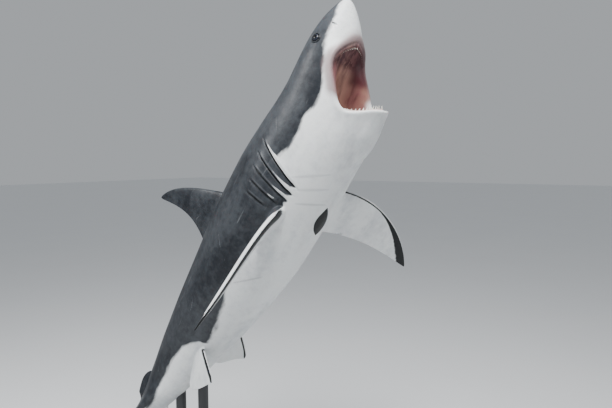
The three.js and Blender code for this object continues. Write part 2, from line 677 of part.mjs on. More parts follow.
const eyes = { eye_left: 1, eye_right: -1 };
const eyeballs = {};
let sockets = null;
for (const [name, side] of Object.entries(eyes)) {
  eyeballs[name] = bent(solidOf(eyeGeometry(EYE.radius, side)));
  const socket = bent(solidOf(eyeGeometry(EYE.radius + PART_GAP, side)));
  sockets = sockets ? sockets.add(socket) : socket;
}

// The lower jaw is parted from the head by a level cut through the cheek webs.
const JAW_BLOCK = { behind: 0.2, ahead: 0.038, low: -0.3, side: 0.2 };
const jawBlock = (shift) => (
  block(HINGE.x, JAW_BLOCK.behind, JAW_BLOCK.ahead, JAW_BLOCK.low, JAW_CUT_HEIGHT + shift, JAW_BLOCK.side)
);
const foreBody = pieceBetween(wholeBody, null, HEAD_CUT);
const tailFin = pieceBetween(wholeBody, TAIL_CUT, null);
const TAIL_BLOCK = { behind: 0.3, ahead: 0.1, high: 0.3 };
const upperHalf = (shift) => (
  block((TAIL_CUT + BODY_END) / 2, TAIL_BLOCK.behind, TAIL_BLOCK.ahead, shift, TAIL_BLOCK.high)
);

const flesh = {
  head: foreBody.subtract(jawBlock(HALF_GAP)).add(upperTeeth).subtract(sockets),
  lower_jaw: foreBody.intersect(jawBlock(-HALF_GAP)).add(lowerTeeth),
  gill_region: pieceBetween(wholeBody, HEAD_CUT, GILL_CUT),
  trunk_front: pieceBetween(wholeBody, GILL_CUT, TRUNK_CUT),
  trunk_rear: pieceBetween(wholeBody, TRUNK_CUT, BELLY_CUT),
  loin: pieceBetween(wholeBody, BELLY_CUT, STALK_CUT),
  tail_stalk: pieceBetween(wholeBody, STALK_CUT, TAIL_CUT),
  tail_fin_upper_lobe: tailFin.intersect(upperHalf(HALF_GAP)),
  tail_fin_lower_lobe: tailFin.subtract(upperHalf(-HALF_GAP)),
  ...finPieces,
};

// ---------------------------------------------------------------- stand

function basePlate() {
  const { length, width, thickness, corner, chamfer } = BASE;
  const x = width / 2 - chamfer;
  const y = length / 2 - chamfer;
  const outline = new THREE.Shape();
  outline.moveTo(-x + corner, -y);
  outline.lineTo(x - corner, -y);
  outline.absarc(x - corner, -y + corner, corner, -Math.PI / 2, 0);
  outline.lineTo(x, y - corner);
  outline.absarc(x - corner, y - corner, corner, 0, Math.PI / 2);
  outline.lineTo(-x + corner, y);
  outline.absarc(-x + corner, y - corner, corner, Math.PI / 2, Math.PI);
  outline.lineTo(-x, -y + corner);
  outline.absarc(-x + corner, -y + corner, corner, Math.PI, 1.5 * Math.PI);
  const geometry = new THREE.ExtrudeGeometry(outline, {
    depth: thickness - 2 * chamfer, bevelThickness: chamfer, bevelSize: chamfer,
    bevelSegments: 1, curveSegments: 5,
  });
  geometry.translate(0, 0, chamfer);
  return geometry;
}

function uprightCylinder(radius, low, high, x, y) {
  const geometry = new THREE.CylinderGeometry(radius, radius, high - low, ROD_SIDES);
  geometry.rotateX(Math.PI / 2);
  geometry.translate(x, y, (low + high) / 2);
  return solidOf(geometry);
}

// A rod from the base up to the skin, and the flange round its foot.
function rodPieces(station) {
  const top = bendPoint(scaled(station, 0, 0));
  const flangeTop = BASE.thickness + PART_GAP + FLANGE.height;
  const rod = uprightCylinder(ROD_RADIUS, BASE.thickness + PART_GAP, top.z, top.x, top.y);
  const flange = uprightCylinder(FLANGE.radius, BASE.thickness + PART_GAP, flangeTop, top.x, top.y);
  const bore = uprightCylinder(ROD_RADIUS + PART_GAP, 0, flangeTop + 1, top.x, top.y);
  return [rod.subtract(wholeBody.translate([0, 0, -PART_GAP])), flange.subtract(bore)];
}

const [frontRod, frontFlange] = rodPieces(FRONT_ROD_STATION);
const [rearRod, rearFlange] = rodPieces(REAR_ROD_STATION);
const standPieces = {
  stand_base: solidOf(basePlate()),
  stand_rod_front: frontRod,
  stand_rod_rear: rearRod,
  stand_flange_front: frontFlange,
  stand_flange_rear: rearFlange,
};

// ---------------------------------------------------------------- scene graph

const material = (color, roughness, metalness = 0) => (
  new THREE.MeshStandardMaterial({ color, roughness, metalness })
);
const backSkin = () => material(0x5a636b, 0.45);
const bellySkin = () => material(0xdfe2e0, 0.45);
const eyeGloss = () => material(0x0b0b0d, 0.12);
const darkSteel = () => material(0x2e3134, 0.5, 0.6);

const shark = new THREE.Group();
shark.name = 'great_white_shark';

function addPiece(name, solid, look) {
  const mesh = new THREE.Mesh(geometryOf(solid), look);
  mesh.name = name;
  shark.add(mesh);
}

for (const [name, solid] of Object.entries(flesh)) {
  addPiece(name, solid, name === 'lower_jaw' ? bellySkin() : backSkin());
}
for (const [name, solid] of Object.entries(eyeballs)) addPiece(name, solid, eyeGloss());
for (const [name, solid] of Object.entries(standPieces)) addPiece(name, solid, darkSteel());

export default shark;
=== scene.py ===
"""Great white shark, life size, rising with an open mouth on a plain display stand.

The skin is one surface. It is worked out lying straight, in body coordinates: x = distance behind
the snout tip, y = towards the left side, z = towards the back, all as shares of the total length.
The spine then bends it into the pose, as it does the CAD solids. World units are metres.
"""

import math

import bmesh
import bpy
import numpy as np
from mathutils import Matrix, Vector, kdtree
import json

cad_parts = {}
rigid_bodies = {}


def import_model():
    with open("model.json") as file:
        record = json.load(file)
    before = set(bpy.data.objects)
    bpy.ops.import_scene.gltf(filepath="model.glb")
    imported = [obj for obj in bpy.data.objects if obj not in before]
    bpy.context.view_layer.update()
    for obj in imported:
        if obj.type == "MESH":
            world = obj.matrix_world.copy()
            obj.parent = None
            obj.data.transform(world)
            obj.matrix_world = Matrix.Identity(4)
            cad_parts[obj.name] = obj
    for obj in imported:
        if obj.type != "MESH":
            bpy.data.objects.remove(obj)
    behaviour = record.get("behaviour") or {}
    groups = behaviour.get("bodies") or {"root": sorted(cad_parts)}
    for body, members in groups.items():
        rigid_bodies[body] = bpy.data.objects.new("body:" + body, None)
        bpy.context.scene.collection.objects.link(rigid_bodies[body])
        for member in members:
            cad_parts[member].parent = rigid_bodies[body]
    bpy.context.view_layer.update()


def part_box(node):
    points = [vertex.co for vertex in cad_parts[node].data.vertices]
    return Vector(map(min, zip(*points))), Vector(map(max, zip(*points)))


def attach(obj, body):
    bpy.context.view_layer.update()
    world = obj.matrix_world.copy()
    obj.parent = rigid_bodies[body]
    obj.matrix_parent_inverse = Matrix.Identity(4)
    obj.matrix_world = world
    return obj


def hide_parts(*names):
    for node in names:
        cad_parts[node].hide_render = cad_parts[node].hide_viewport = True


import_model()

# ---- driving dimensions

TOTAL_LENGTH = 4.2
MM = 0.001 / TOTAL_LENGTH  # one millimetre as a share of the total length

NOSE_UP = 56  # pose of the spine, degrees and stations
HEAD_LIFT = 17
HEAD_LIFT_FROM = 0.26
HEAD_LIFT_TO = 0.08
TAIL_SWEEP = 15
TAIL_SWEEP_FROM = 0.42
TAIL_SWEEP_TO = 0.85
ANCHOR_STATION = 0.35
SPINE_STEPS = 400

BODY_PROFILE = [  # station, back height, belly depth, half width
    (0.000, 0.0000, 0.0000, 0.0000),
    (0.012, 0.0152, 0.0140, 0.0168),
    (0.035, 0.0286, 0.0262, 0.0325),
    (0.055, 0.0363, 0.0345, 0.0418),
    (0.080, 0.0430, 0.0600, 0.0500),
    (0.110, 0.0502, 0.0953, 0.0550),
    (0.130, 0.0545, 0.1042, 0.0573),
    (0.160, 0.0617, 0.1000, 0.0610),
    (0.220, 0.0740, 0.0926, 0.0670),
    (0.290, 0.0808, 0.0934, 0.0698),
    (0.370, 0.0817, 0.0928, 0.0681),
    (0.460, 0.0770, 0.0842, 0.0619),
    (0.550, 0.0712, 0.0685, 0.0533),
    (0.640, 0.0592, 0.0512, 0.0406),
    (0.720, 0.0402, 0.0346, 0.0277),
    (0.770, 0.0262, 0.0237, 0.0205),
    (0.800, 0.0210, 0.0201, 0.0177),
    (0.850, 0.0225, 0.0205, 0.0110),
    (0.888, 0.0000, 0.0000, 0.0000),
]
KEEL_WIDTH = 0.0150
KEEL_MIDDLE = 0.795
KEEL_HALF_LENGTH = 0.075
KEEL_SHARPNESS = 9

HINGE = (0.138, -0.013)  # x and z of the jaw hinge
UPPER_FRONT = (0.050, -0.0325)
LOWER_RIM = {"near_angle": 93, "tip_angle": 84.5, "near_reach": 0.050, "tip_reach": 0.0915}
WEB = {"angle": 58, "reach": 0.037}  # straight edge of the cheek web between both jaws
THROAT_PIT = (0.128, 0.0, -0.052), (0.072, 0.037, 0.036)  # middle and radii, as all such pairs
MOUTH_ROUNDING = 0.012  # how softly the jaws' planes meet the cheek web
LIP_ROUNDING = 0.0045
LIP_SWELL = 0.0014
LIP_WIDTH = 0.0060
GUM_RADIUS = 0.0024

EYE = {"x": 0.0632, "z": 0.0070, "radius": 30 * MM, "proud": 14 * MM}
NOSTRIL = {"x": 0.0382, "z": -0.0095, "length": 22 * MM, "width": 7 * MM, "depth": 9 * MM, "tilt": 75}

TEETH_PER_SIDE = 11
TOOTH = {"height": 32 * MM, "width": 25 * MM, "thickness": 9 * MM, "root": 9 * MM}
UPPER_TOOTH_SIZE = 0.8
UPPER_TOOTH_LEAN = 50
UPPER_GUM_COVER = 0.50  # share of an upper tooth that the gum hides
LOWER_TOOTH_LEAN = 8
TOOTH_INSET = 0.0085
TOOTH_ROW_FROM = 0.004
TOOTH_ROW_TURN = 87
SMALLEST_TOOTH = 0.55
TOOTH_ASIDE = 0.55  # least way from the middle plane, in tooth widths

GILLS = {"first": 0.2377, "step": 0.0160, "count": 5, "top": 0.028, "bottom": -0.056}
GILL_LEAN = 20  # degrees, top forward; less for each slit behind the first
GILL_UPRIGHTING = 5
GILL_FLOOR_RISE = 0.022  # how much higher the last slit ends than the first
GILL_TOP_DROP = 0.004

FIN_EDGE = 3 * MM
TIP_ROUNDING = 14
FINS = {
    "first_dorsal": {
        "lead": [(0.350, 0, 0.058), (0.379, 0, 0.102), (0.407, 0, 0.180), (0.461, 0, 0.216)],
        "trail": [(0.480, 0, 0.062), (0.473, 0, 0.088), (0.428, 0, 0.129), (0.474, 0, 0.2105)],
        "thick": 66, "flare": 50,
    },
    "second_dorsal": {
        "lead": [(0.726, 0, 0.030), (0.738, 0, 0.0488), (0.754, 0, 0.0536), (0.779, 0, 0.0387)],
        "trail": [(0.792, 0, 0.016), (0.797, 0, 0.024), (0.782, 0, 0.0297), (0.786, 0, 0.0357)],
        "thick": 20, "flare": 16,
    },
    "anal": {
        "lead": [(0.750, 0, -0.020), (0.758, 0, -0.034), (0.765, 0, -0.045), (0.773, 0, -0.0470)],
        "trail": [(0.777, 0, -0.017), (0.789, 0, -0.029), (0.774, 0, -0.036), (0.778, 0, -0.0455)],
        "thick": 20, "flare": 14,
    },
    "upper_tail": {
        "lead": [(0.812, 0, -0.004), (0.838, 0, 0.046), (0.885, 0, 0.112), (0.968, 0, 0.158)],
        "trail": [(0.882, 0, -0.004), (0.886, 0, 0.040), (0.912, 0, 0.092), (0.974, 0, 0.152)],
        "thick": 70, "flare": 26,
    },
    "lower_tail": {
        "lead": [(0.818, 0, 0.004), (0.836, 0, -0.040), (0.868, 0, -0.092), (0.925, 0, -0.128)],
        "trail": [(0.882, 0, 0.004), (0.884, 0, -0.036), (0.892, 0, -0.078), (0.930, 0, -0.122)],
        "thick": 62, "flare": 24,
    },
    "pectoral_left": {
        "lead": [(0.266, 0.045, -0.045), (0.249, 0.129, -0.078),
                 (0.292, 0.213, -0.124), (0.370, 0.262, -0.159)],
        "trail": [(0.345, 0.045, -0.050), (0.338, 0.109, -0.074),
                  (0.339, 0.174, -0.114), (0.379, 0.258, -0.159)],
        "thick": 66, "flare": 26, "tip": 9, "side": 1,
    },
    "pectoral_right": {
        "lead": [(0.288, 0.046, -0.048), (0.293, 0.137, -0.077),
                 (0.308, 0.214, -0.127), (0.367, 0.270, -0.148)],
        "trail": [(0.358, 0.043, -0.037), (0.358, 0.114, -0.070),
                  (0.340, 0.183, -0.111), (0.374, 0.267, -0.148)],
        "thick": 66, "flare": 26, "tip": 9, "side": -1,
    },
    "pelvic_left": {
        "lead": [(0.560, 0.029, -0.045), (0.582, 0.040, -0.063),
                 (0.598, 0.048, -0.074), (0.607, 0.056, -0.073)],
        "trail": [(0.636, 0.012, -0.046), (0.639, 0.027, -0.055),
                  (0.613, 0.043, -0.062), (0.615, 0.054, -0.073)],
        "thick": 34, "flare": 22, "tip": 6, "side": 1,
    },
    "pelvic_right": {
        "lead": [(0.592, 0.033, -0.032), (0.598, 0.042, -0.053),
                 (0.599, 0.052, -0.076), (0.604, 0.062, -0.099)],
        "trail": [(0.656, 0.017, -0.034), (0.696, 0.027, -0.058),
                  (0.663, 0.040, -0.071), (0.612, 0.060, -0.097)],
        "thick": 34, "flare": 22, "tip": 6, "side": -1,
    },
}

FLESH_NODES = [
    "head", "lower_jaw", "gill_region", "trunk_front", "trunk_rear", "loin", "tail_stalk",
    "tail_fin_upper_lobe", "tail_fin_lower_lobe", "first_dorsal_fin", "second_dorsal_fin",
    "anal_fin", "pectoral_fin_left", "pectoral_fin_right", "pelvic_fin_left", "pelvic_fin_right",
]

# Camera of the photograph: place, viewing direction and image right, and the focal length in
# pixels of an image 612 pixels wide.
CAMERA_PLACE = (-3.078, -2.858, 2.758)
CAMERA_FORWARD = (0.8203, 0.5666, -0.0780)
CAMERA_RIGHT = (0.5681, -0.8230, -0.0041)
FOCAL_PIXELS = 580
IMAGE_WIDTH = 612
SENSOR_WIDTH = 36

# ---- small helpers


def smooth(start, end, value):
    t = np.clip((value - start) / (end - start), 0, 1)
    return t * t * (3 - 2 * t)


def unit(vectors):
    return vectors / np.linalg.norm(vectors, axis=-1, keepdims=True)


def soft_min(a, b, width):
    near = np.maximum(width - np.abs(a - b), 0) / width
    return np.minimum(a, b) - near * near * width / 4


def soft_max(a, b, width):
    return -soft_min(-a, -b, width)


def monotone(xs, ys):
    """Monotone cubic through the points: it never overshoots them."""
    xs, ys = np.array(xs), np.array(ys)
    rise = np.diff(ys) / np.diff(xs)
    before, after = rise[:-1], rise[1:]
    same = before * after > 0
    inner = np.where(same, 2 * before * after / np.where(same, before + after, 1), 0)
    slope = np.concatenate([rise[:1], inner, rise[-1:]])

    def curve(x):
        i = np.clip(np.searchsorted(xs, x, side="right") - 1, 0, len(xs) - 2)
        h = xs[i + 1] - xs[i]
        t = np.clip((x - xs[i]) / h, 0, 1)
        ends = (1 + 2 * t) * (1 - t) ** 2 * ys[i] + t * t * (3 - 2 * t) * ys[i + 1]
        return ends + h * t * (1 - t) * ((1 - t) * slope[i] - t * slope[i + 1])

    return curve


# ---- spine


def profile(column):
    curve = monotone([math.sqrt(row[0]) for row in BODY_PROFILE], [row[column] for row in BODY_PROFILE])
    return lambda x: curve(np.sqrt(np.maximum(x, 0)))


back_height, belly_depth, half_width = profile(1), profile(2), profile(3)


def width_at(x, z):
    """Half width of the body at a height above or below the middle line."""
    depth = np.where(np.asarray(z) > 0, back_height(x), belly_depth(x))
    return half_width(x) * np.sqrt(np.maximum(0, 1 - (z / depth) ** 2))


def make_spine():
    station = np.linspace(0, 1, SPINE_STEPS + 1)
    pitch = math.radians(HEAD_LIFT) * (1 - smooth(HEAD_LIFT_TO, HEAD_LIFT_FROM, station))
    yaw = math.radians(TAIL_SWEEP) * smooth(TAIL_SWEEP_FROM, TAIL_SWEEP_TO, station)
    ahead = unit(np.stack([np.cos(pitch) * np.cos(yaw), np.sin(yaw), np.sin(pitch)], 1))
    back = np.stack([-np.sin(pitch), 0 * pitch, np.cos(pitch)], 1)
    back = unit(back - (back * ahead).sum(1, keepdims=True) * ahead)
    left = np.cross(back, ahead)
    steps = (ahead[1:] + ahead[:-1]) * (-0.5 / SPINE_STEPS)
    centre = np.concatenate([np.zeros((1, 3)), np.cumsum(steps, 0)])
    centre -= centre[round(ANCHOR_STATION * SPINE_STEPS)]
    return station, centre, ahead, left, back


SPINE = make_spine()
NOSE = math.radians(NOSE_UP)
ATTITUDE = np.array([
    [0, 1, 0],
    [-math.cos(NOSE), 0, math.sin(NOSE)],
    [math.sin(NOSE), 0, math.cos(NOSE)],
])


def bend(points):
    """Straight body coordinates to metres in the pose, before the stand lifts it."""
    station, centre, ahead, left, back = SPINE
    x = points[:, 0]

    def at(rows):
        return np.stack([np.interp(x, station, rows[:, k]) for k in range(3)], 1)

    before = np.minimum(x, 0)[:, None]
    moved = at(centre) - before * ahead[0]
    moved = moved + points[:, 1:2] * unit(at(left)) + points[:, 2:3] * unit(at(back))
    return moved @ ATTITUDE.T * TOTAL_LENGTH


def eye_centre(side):
    y = width_at(EYE["x"], EYE["z"]) - (EYE["radius"] - EYE["proud"])
    return np.array([EYE["x"], side * float(y), EYE["z"]])


# The right eye's CAD solid says where the stand holds the animal.
EYE_LOW, EYE_HIGH = (np.array(corner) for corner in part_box("eye_right"))
OFFSET = (EYE_LOW + EYE_HIGH) / 2 - bend(eye_centre(-1)[None])[0]


def posed(points):
    return bend(np.asarray(points, float)) + OFFSET


# ---- body and mouth as distance fields

SNOUT = 1e-4  # stations short of this count as this one
SLOPE_STEP = 1e-3
THINNEST = 2 * MM  # least width and depth of the body's sections
TINY = 1e-9  # keeps divisions finite


def per_root(curve, x):
    """A profile over the root of the station, which stays finite at the round snout tip."""
    s = np.maximum(x, SNOUT)
    return np.maximum(curve(s), THINNEST) / np.sqrt(s)


def rooted(curve, x):
    """The same, and its slope along the body."""
    slope = (per_root(curve, x + SLOPE_STEP) - per_root(curve, x - SLOPE_STEP)) / (2 * SLOPE_STEP)
    return np.stack([per_root(curve, x), slope])


def body_field(x, y, z):
    """About the distance to the whole body's surface, negative inside."""
    wide, wide_slope = rooted(half_width, x)
    tall, tall_slope = np.where(z > 0, rooted(back_height, x), rooted(belly_depth, x))
    level = np.clip(1 - z * z / (tall * tall * np.maximum(x, SNOUT)), 0, 1)
    along = np.maximum(0, 1 - ((x - KEEL_MIDDLE) / KEEL_HALF_LENGTH) ** 2)
    keel = KEEL_WIDTH * along**1.5 * level ** (KEEL_SHARPNESS / 2)
    a = np.maximum(np.abs(y) - keel, 0) / wide
    b = z / tall
    value = a * a + b * b - x
    slope_x = 1 + 2 * a * a * wide_slope / wide + 2 * b * b * tall_slope / tall
    steepness = np.sqrt(slope_x**2 + 4 * (a / wide) ** 2 + 4 * (b / tall) ** 2 + TINY)
    return value / steepness


def jaw_direction(angle):
    """x and z of the direction away from the hinge at an angle down from the body axis."""
    return np.stack([-np.cos(angle), -np.sin(angle)], -1)


UPPER_ANGLE = math.atan2(HINGE[1] - UPPER_FRONT[1], HINGE[0] - UPPER_FRONT[0])
UPPER_JAW_REACH = math.hypot(HINGE[0] - UPPER_FRONT[0], HINGE[1] - UPPER_FRONT[1])


def upper_angle(reach):
    return np.full(np.shape(reach), UPPER_ANGLE)


def lower_angle(reach):
    """Angle of the lower jaw's rim, which turns up towards its tip."""
    near, turned = LOWER_RIM["near_angle"], LOWER_RIM["tip_angle"] - LOWER_RIM["near_angle"]
    return np.radians(near + turned * smooth(LOWER_RIM["near_reach"], LOWER_RIM["tip_reach"], reach))


def corner_reach(angle_at):
    """Reach at which a jaw's rim meets the cheek web."""
    return WEB["reach"] / math.cos(float(angle_at(0.0)) - math.radians(WEB["angle"]))


def rim_point(angle_at, reach):
    """x and z of a jaw's rim at a reach from the hinge."""
    return HINGE + jaw_direction(angle_at(reach)) * np.asarray(reach)[..., None]


def mouth_planes(x, z):
    """Distances into the gape, past the upper jaw's rim, the lower jaw's rim and the web."""
    px, pz = x - HINGE[0], z - HINGE[1]
    reach = np.hypot(px, pz)
    angle = np.arctan2(-pz, -px)
    past_upper = px * math.sin(UPPER_ANGLE) - pz * math.cos(UPPER_ANGLE)
    past_lower = reach * (lower_angle(reach) - angle)
    web = math.radians(WEB["angle"])
    past_web = -px * math.cos(web) - pz * math.sin(web) - WEB["reach"]
    return past_upper, past_lower, past_web


def ellipsoid_field(x, y, z, middle, radii):
    p = [(value - m) / r for value, m, r in zip((x, y, z), middle, radii)]
    scaled = np.sqrt(sum(a**2 for a in p)) + TINY
    steep = np.sqrt(sum((a / r) ** 2 for a, r in zip(p, radii))) + TINY
    return scaled * (scaled - 1) / steep


def mouth_field(x, y, z):
    """About the distance to the open mouth's hollow, negative in the hollow."""
    past_upper, past_lower, past_web = mouth_planes(x, z)
    gape = -soft_min(soft_min(past_upper, past_web, MOUTH_ROUNDING), past_lower, MOUTH_ROUNDING)
    pit = ellipsoid_field(x, y, z, *THROAT_PIT)
    return soft_min(gape, pit, MOUTH_ROUNDING)


def tooth_row(angle_at, reach, turns):
    """Feet of the teeth: places on a jaw's rim, a little in from the lip, by turn angle."""
    last = corner_reach(angle_at) + TOOTH_ROW_FROM
    out = last + (reach - TOOTH_INSET - last) * np.cos(turns)
    edge = rim_point(angle_at, out + TOOTH_INSET * np.cos(turns))
    foot = rim_point(angle_at, out)
    half = width_at(edge[:, 0], edge[:, 1]) - TOOTH_INSET * np.abs(np.sin(turns))
    y = np.sign(turns) * np.maximum(half, TOOTH["width"] * TOOTH_ASIDE)
    return np.stack([foot[:, 0], y, foot[:, 1]], 1), jaw_direction(angle_at(out))


JAWS = {"x": (0.03, 0.16), "z": (-0.13, 0.01)}  # where gums are looked for
FAR = 1.0
GUM_FROM = 0.01  # first turn angle and number of the places that a gum is drawn through
GUM_PLACES = 40
ROW_TURNS = np.linspace(GUM_FROM, math.radians(TOOTH_ROW_TURN), GUM_PLACES)
GUM_LINES = np.concatenate([
    tooth_row(upper_angle, UPPER_JAW_REACH, ROW_TURNS)[0],
    tooth_row(lower_angle, LOWER_RIM["tip_reach"], ROW_TURNS)[0],
])


def gum_distance(x, y, z):
    """Distance to the lines that the teeth stand on, worked out only near the jaws."""
    found = np.full(x.shape, FAR)
    near = (x > JAWS["x"][0]) & (x < JAWS["x"][1]) & (z > JAWS["z"][0]) & (z < JAWS["z"][1])
    place = np.stack([x[near], np.abs(y[near]), z[near]], 1)
    best = np.full(len(place), FAR)
    for line in GUM_LINES:
        best = np.minimum(best, ((place - line) ** 2).sum(1))
    found[near] = np.sqrt(best)
    return found


def gradient(field, points, step):
    """Slope of a field at points, by differences."""
    shifts = step * np.eye(3)[..., None]
    slope = [field(*(points.T + shift)) - field(*(points.T - shift)) for shift in shifts]
    return np.stack(slope, 1) / (2 * step)


EYE_MIDDLE = eye_centre(1)
EYE_SIDE = EYE_MIDDLE + np.array([0, EYE["radius"] - EYE["proud"], 0])
NORMAL_STEP = 1e-4
EYE_NORMAL = unit(gradient(body_field, EYE_SIDE[None], NORMAL_STEP)[0])
EYE_RIM = 25 * MM  # radius of the opening between the lids
EYE_LID = 4 * MM
LID_OFFSET = 0.6  # of the lid ring's middle beyond that opening


def eye_fields(x, y, z):
    """Distance to the eyeball's surface, and to the ring of its lids."""
    p = [x - EYE_MIDDLE[0], np.abs(y) - EYE_MIDDLE[1], z - EYE_MIDDLE[2]]
    out = sum(a * b for a, b in zip(p, EYE_NORMAL))
    square = sum(a**2 for a in p)
    aside = np.sqrt(np.maximum(square - out * out, 0))
    rim_height = math.sqrt(EYE["radius"] ** 2 - EYE_RIM**2)
    ring = np.sqrt((aside - EYE_RIM - EYE_LID * LID_OFFSET) ** 2 + (out - rim_height) ** 2)
    return np.sqrt(square) - EYE["radius"], ring - EYE_LID


def nostril_field(x, y, z):
    side = width_at(NOSTRIL["x"], NOSTRIL["z"])
    px, py, pz = x - NOSTRIL["x"], np.abs(y) - side, z - NOSTRIL["z"]
    tilt = math.radians(NOSTRIL["tilt"])
    along = px * math.cos(tilt) - pz * math.sin(tilt)
    across = px * math.sin(tilt) + pz * math.cos(tilt)
    radii = (NOSTRIL["length"], NOSTRIL["depth"], NOSTRIL["width"])
    return ellipsoid_field(along, py, across, (0, 0, 0), radii)


FLAP_HEIGHT = 8 * MM
FLAP_LENGTH = 30 * MM
SLIT_DEPTH = 15 * MM
SLIT_WIDTH = 6 * MM
# Widths of the painted highlight along each flap's rear edge and of the painted shade in the slit behind
# it
FLAP_HIGHLIGHT = 10 * MM
SLIT_SHADOW = 10 * MM
SLIT_LOW_END = (-0.004, 0.014)  # heights over which a slit fades out at its floor and top
SLIT_HIGH_END = (-0.012, 0.004)


def gill_slits(x, z):
    """For each slit, how far a point lies behind it and how strongly it counts at that height."""
    middle = (GILLS["top"] + GILLS["bottom"]) / 2
    for i in range(GILLS["count"]):
        lean = math.tan(math.radians(GILL_LEAN - GILL_UPRIGHTING * i))
        past = x - (GILLS["first"] + GILLS["step"] * i - (z - middle) * lean)
        top = GILLS["top"] - GILL_TOP_DROP * i
        floor = GILLS["bottom"] + GILL_FLOOR_RISE * (i / (GILLS["count"] - 1)) ** 3
        ends = smooth(*SLIT_LOW_END, z - floor) * (1 - smooth(*SLIT_HIGH_END, z - top))
        yield past, ends


def gill_relief(x, z):
    """How far the skin stands out over the flap ahead of each gill slit, and in at the slit."""
    relief = np.zeros(x.shape)
    for past, ends in gill_slits(x, z):
        flap = np.where(past < 0, np.exp(past / FLAP_LENGTH), np.exp(-((past / SLIT_WIDTH) ** 2)))
        slit = np.exp(-(((past - SLIT_WIDTH) / SLIT_WIDTH) ** 2))
        relief += ends * (FLAP_HEIGHT * flap - SLIT_DEPTH * slit)
    return relief


def gill_highlight_and_shade(x, z):
    """Painted light of the gills: 1 on the painted highlight along a flap's rear edge, -1 in the painted
    shade of the slit behind it.
    """
    shade = np.zeros(x.shape)
    for past, ends in gill_slits(x, z):
        # Painted highlight on the flap's rear edge, painted shade in the slit behind it
        edge = np.exp(-(((past + FLAP_HIGHLIGHT) / FLAP_HIGHLIGHT) ** 2))
        dark = np.exp(-(((past - SLIT_WIDTH) / SLIT_SHADOW) ** 2))
        shade += ends * (edge - dark)
    return shade


TONGUE = (0.160, 0.0, -0.091), (0.030, 0.021, 0.0110)
GUM_BLEND = 0.003  # how softly each form meets the skin
TONGUE_BLEND = 0.008
LID_BLEND = 5 * MM
NOSTRIL_BLEND = 2 * MM
EYE_GAP = 0.4 * MM


def skin_field(x, y, z):
    """About the distance to the skin, negative inside the flesh."""
    body = body_field(x, y, z) - gill_relief(x, z)
    mouth = mouth_field(x, y, z)
    value = soft_max(body, -mouth, LIP_ROUNDING)
    value = value - LIP_SWELL * np.exp(-(body**2 + mouth**2) / LIP_WIDTH**2)
    value = soft_min(value, gum_distance(x, y, z) - GUM_RADIUS, GUM_BLEND)
    value = soft_min(value, ellipsoid_field(x, y, z, *TONGUE), TONGUE_BLEND)
    ball, lid = eye_fields(x, y, z)
    value = soft_min(value, lid, LID_BLEND)
    value = np.maximum(value, -(ball - EYE_GAP))
    return soft_max(value, -nostril_field(x, y, z), NOSTRIL_BLEND)


# ---- meshing the fields

HEAD_STEP = 4.0 * MM  # the grid's steps and ends
TRUNK_STEP = 9.0 * MM
CROSS_STEP = 5.0 * MM
HEAD_START = -4 * HEAD_STEP
HEAD_END = 0.315
TRUNK_END = 0.90
GRID_WIDTH = 0.084
GRID_HEIGHTS = (-0.116, 0.102)
NEAR = 0.014  # beyond this distance the rough field will do
SETTLE_ROUNDS = 2
SETTLE_STEP = 0.8 * MM
LONGEST_MOVE = 3 * MM
LEAST_SLOPE = 0.25


def grid_axes():
    head = np.arange(HEAD_START, HEAD_END, HEAD_STEP)
    trunk = np.arange(head[-1] + TRUNK_STEP, TRUNK_END, TRUNK_STEP)
    across, up = np.arange(0, GRID_WIDTH, CROSS_STEP), np.arange(*GRID_HEIGHTS, CROSS_STEP)
    return np.concatenate([head, trunk]), across, up


def sampled_field(xs, ys, zs):
    """The skin field on half the grid: rough far from the skin, full near it."""
    x, y, z = xs[:, None, None], ys[None, :, None], zs[None, None, :]
    value = np.maximum(body_field(x, y, z), -mouth_field(x, y, z))
    near = np.abs(value) < NEAR
    i, j, k = np.nonzero(near)
    value[near] = skin_field(xs[i], ys[j], zs[k])
    return value


CORNERS = [(i, j, k) for i in (0, 1) for j in (0, 1) for k in (0, 1)]
CELL_EDGES = [(start, axis) for start in CORNERS for axis in range(3) if not start[axis]]


def surface_net(value, axes):
    """Quads on the zero level of a sampled field: one vertex in each cell that it crosses."""
    inside = value < 0
    part = (slice(None, -1), slice(1, None))
    count = sum(inside[part[i], part[j], part[k]].astype(np.int8) for i, j, k in CORNERS)
    mixed = (count > 0) & (count < 8)
    number = np.full(mixed.shape, -1, np.int64)
    cells = np.argwhere(mixed)
    number[mixed] = np.arange(len(cells))
    total = np.zeros((len(cells), 3))
    hits = np.zeros(len(cells))
    for start, axis in CELL_EDGES:
        a = cells + start
        b = a.copy()
        b[:, axis] += 1
        va, vb = value[tuple(a.T)], value[tuple(b.T)]
        crossed = (va < 0) != (vb < 0)
        place = a.astype(float)
        place[:, axis] += np.where(crossed, va / np.where(crossed, va - vb, 1), 0)
        total += np.where(crossed[:, None], place, 0)
        hits += crossed
    place = (total / hits[:, None]).T
    vertices = [np.interp(steps, np.arange(len(axis)), axis) for steps, axis in zip(place, axes)]
    return np.stack(vertices, 1), net_quads(inside, number)


def net_quads(inside, number):
    quads = []
    for axis in range(3):
        b, c = (axis + 1) % 3, (axis + 2) % 3
        rolled = np.moveaxis(inside, (axis, b, c), (0, 1, 2))
        cells = np.moveaxis(number, (axis, b, c), (0, 1, 2))
        start, end = rolled[:-1, 1:-1, 1:-1], rolled[1:, 1:-1, 1:-1]
        i, j, k = np.nonzero(start != end)
        ring = [cells[i, j, k], cells[i, j + 1, k], cells[i, j + 1, k + 1], cells[i, j, k + 1]]
        quad = np.stack(ring, 1)
        outward = start[i, j, k]
        quad[~outward] = quad[~outward][:, ::-1]
        quads.append(quad)
    return np.concatenate(quads)


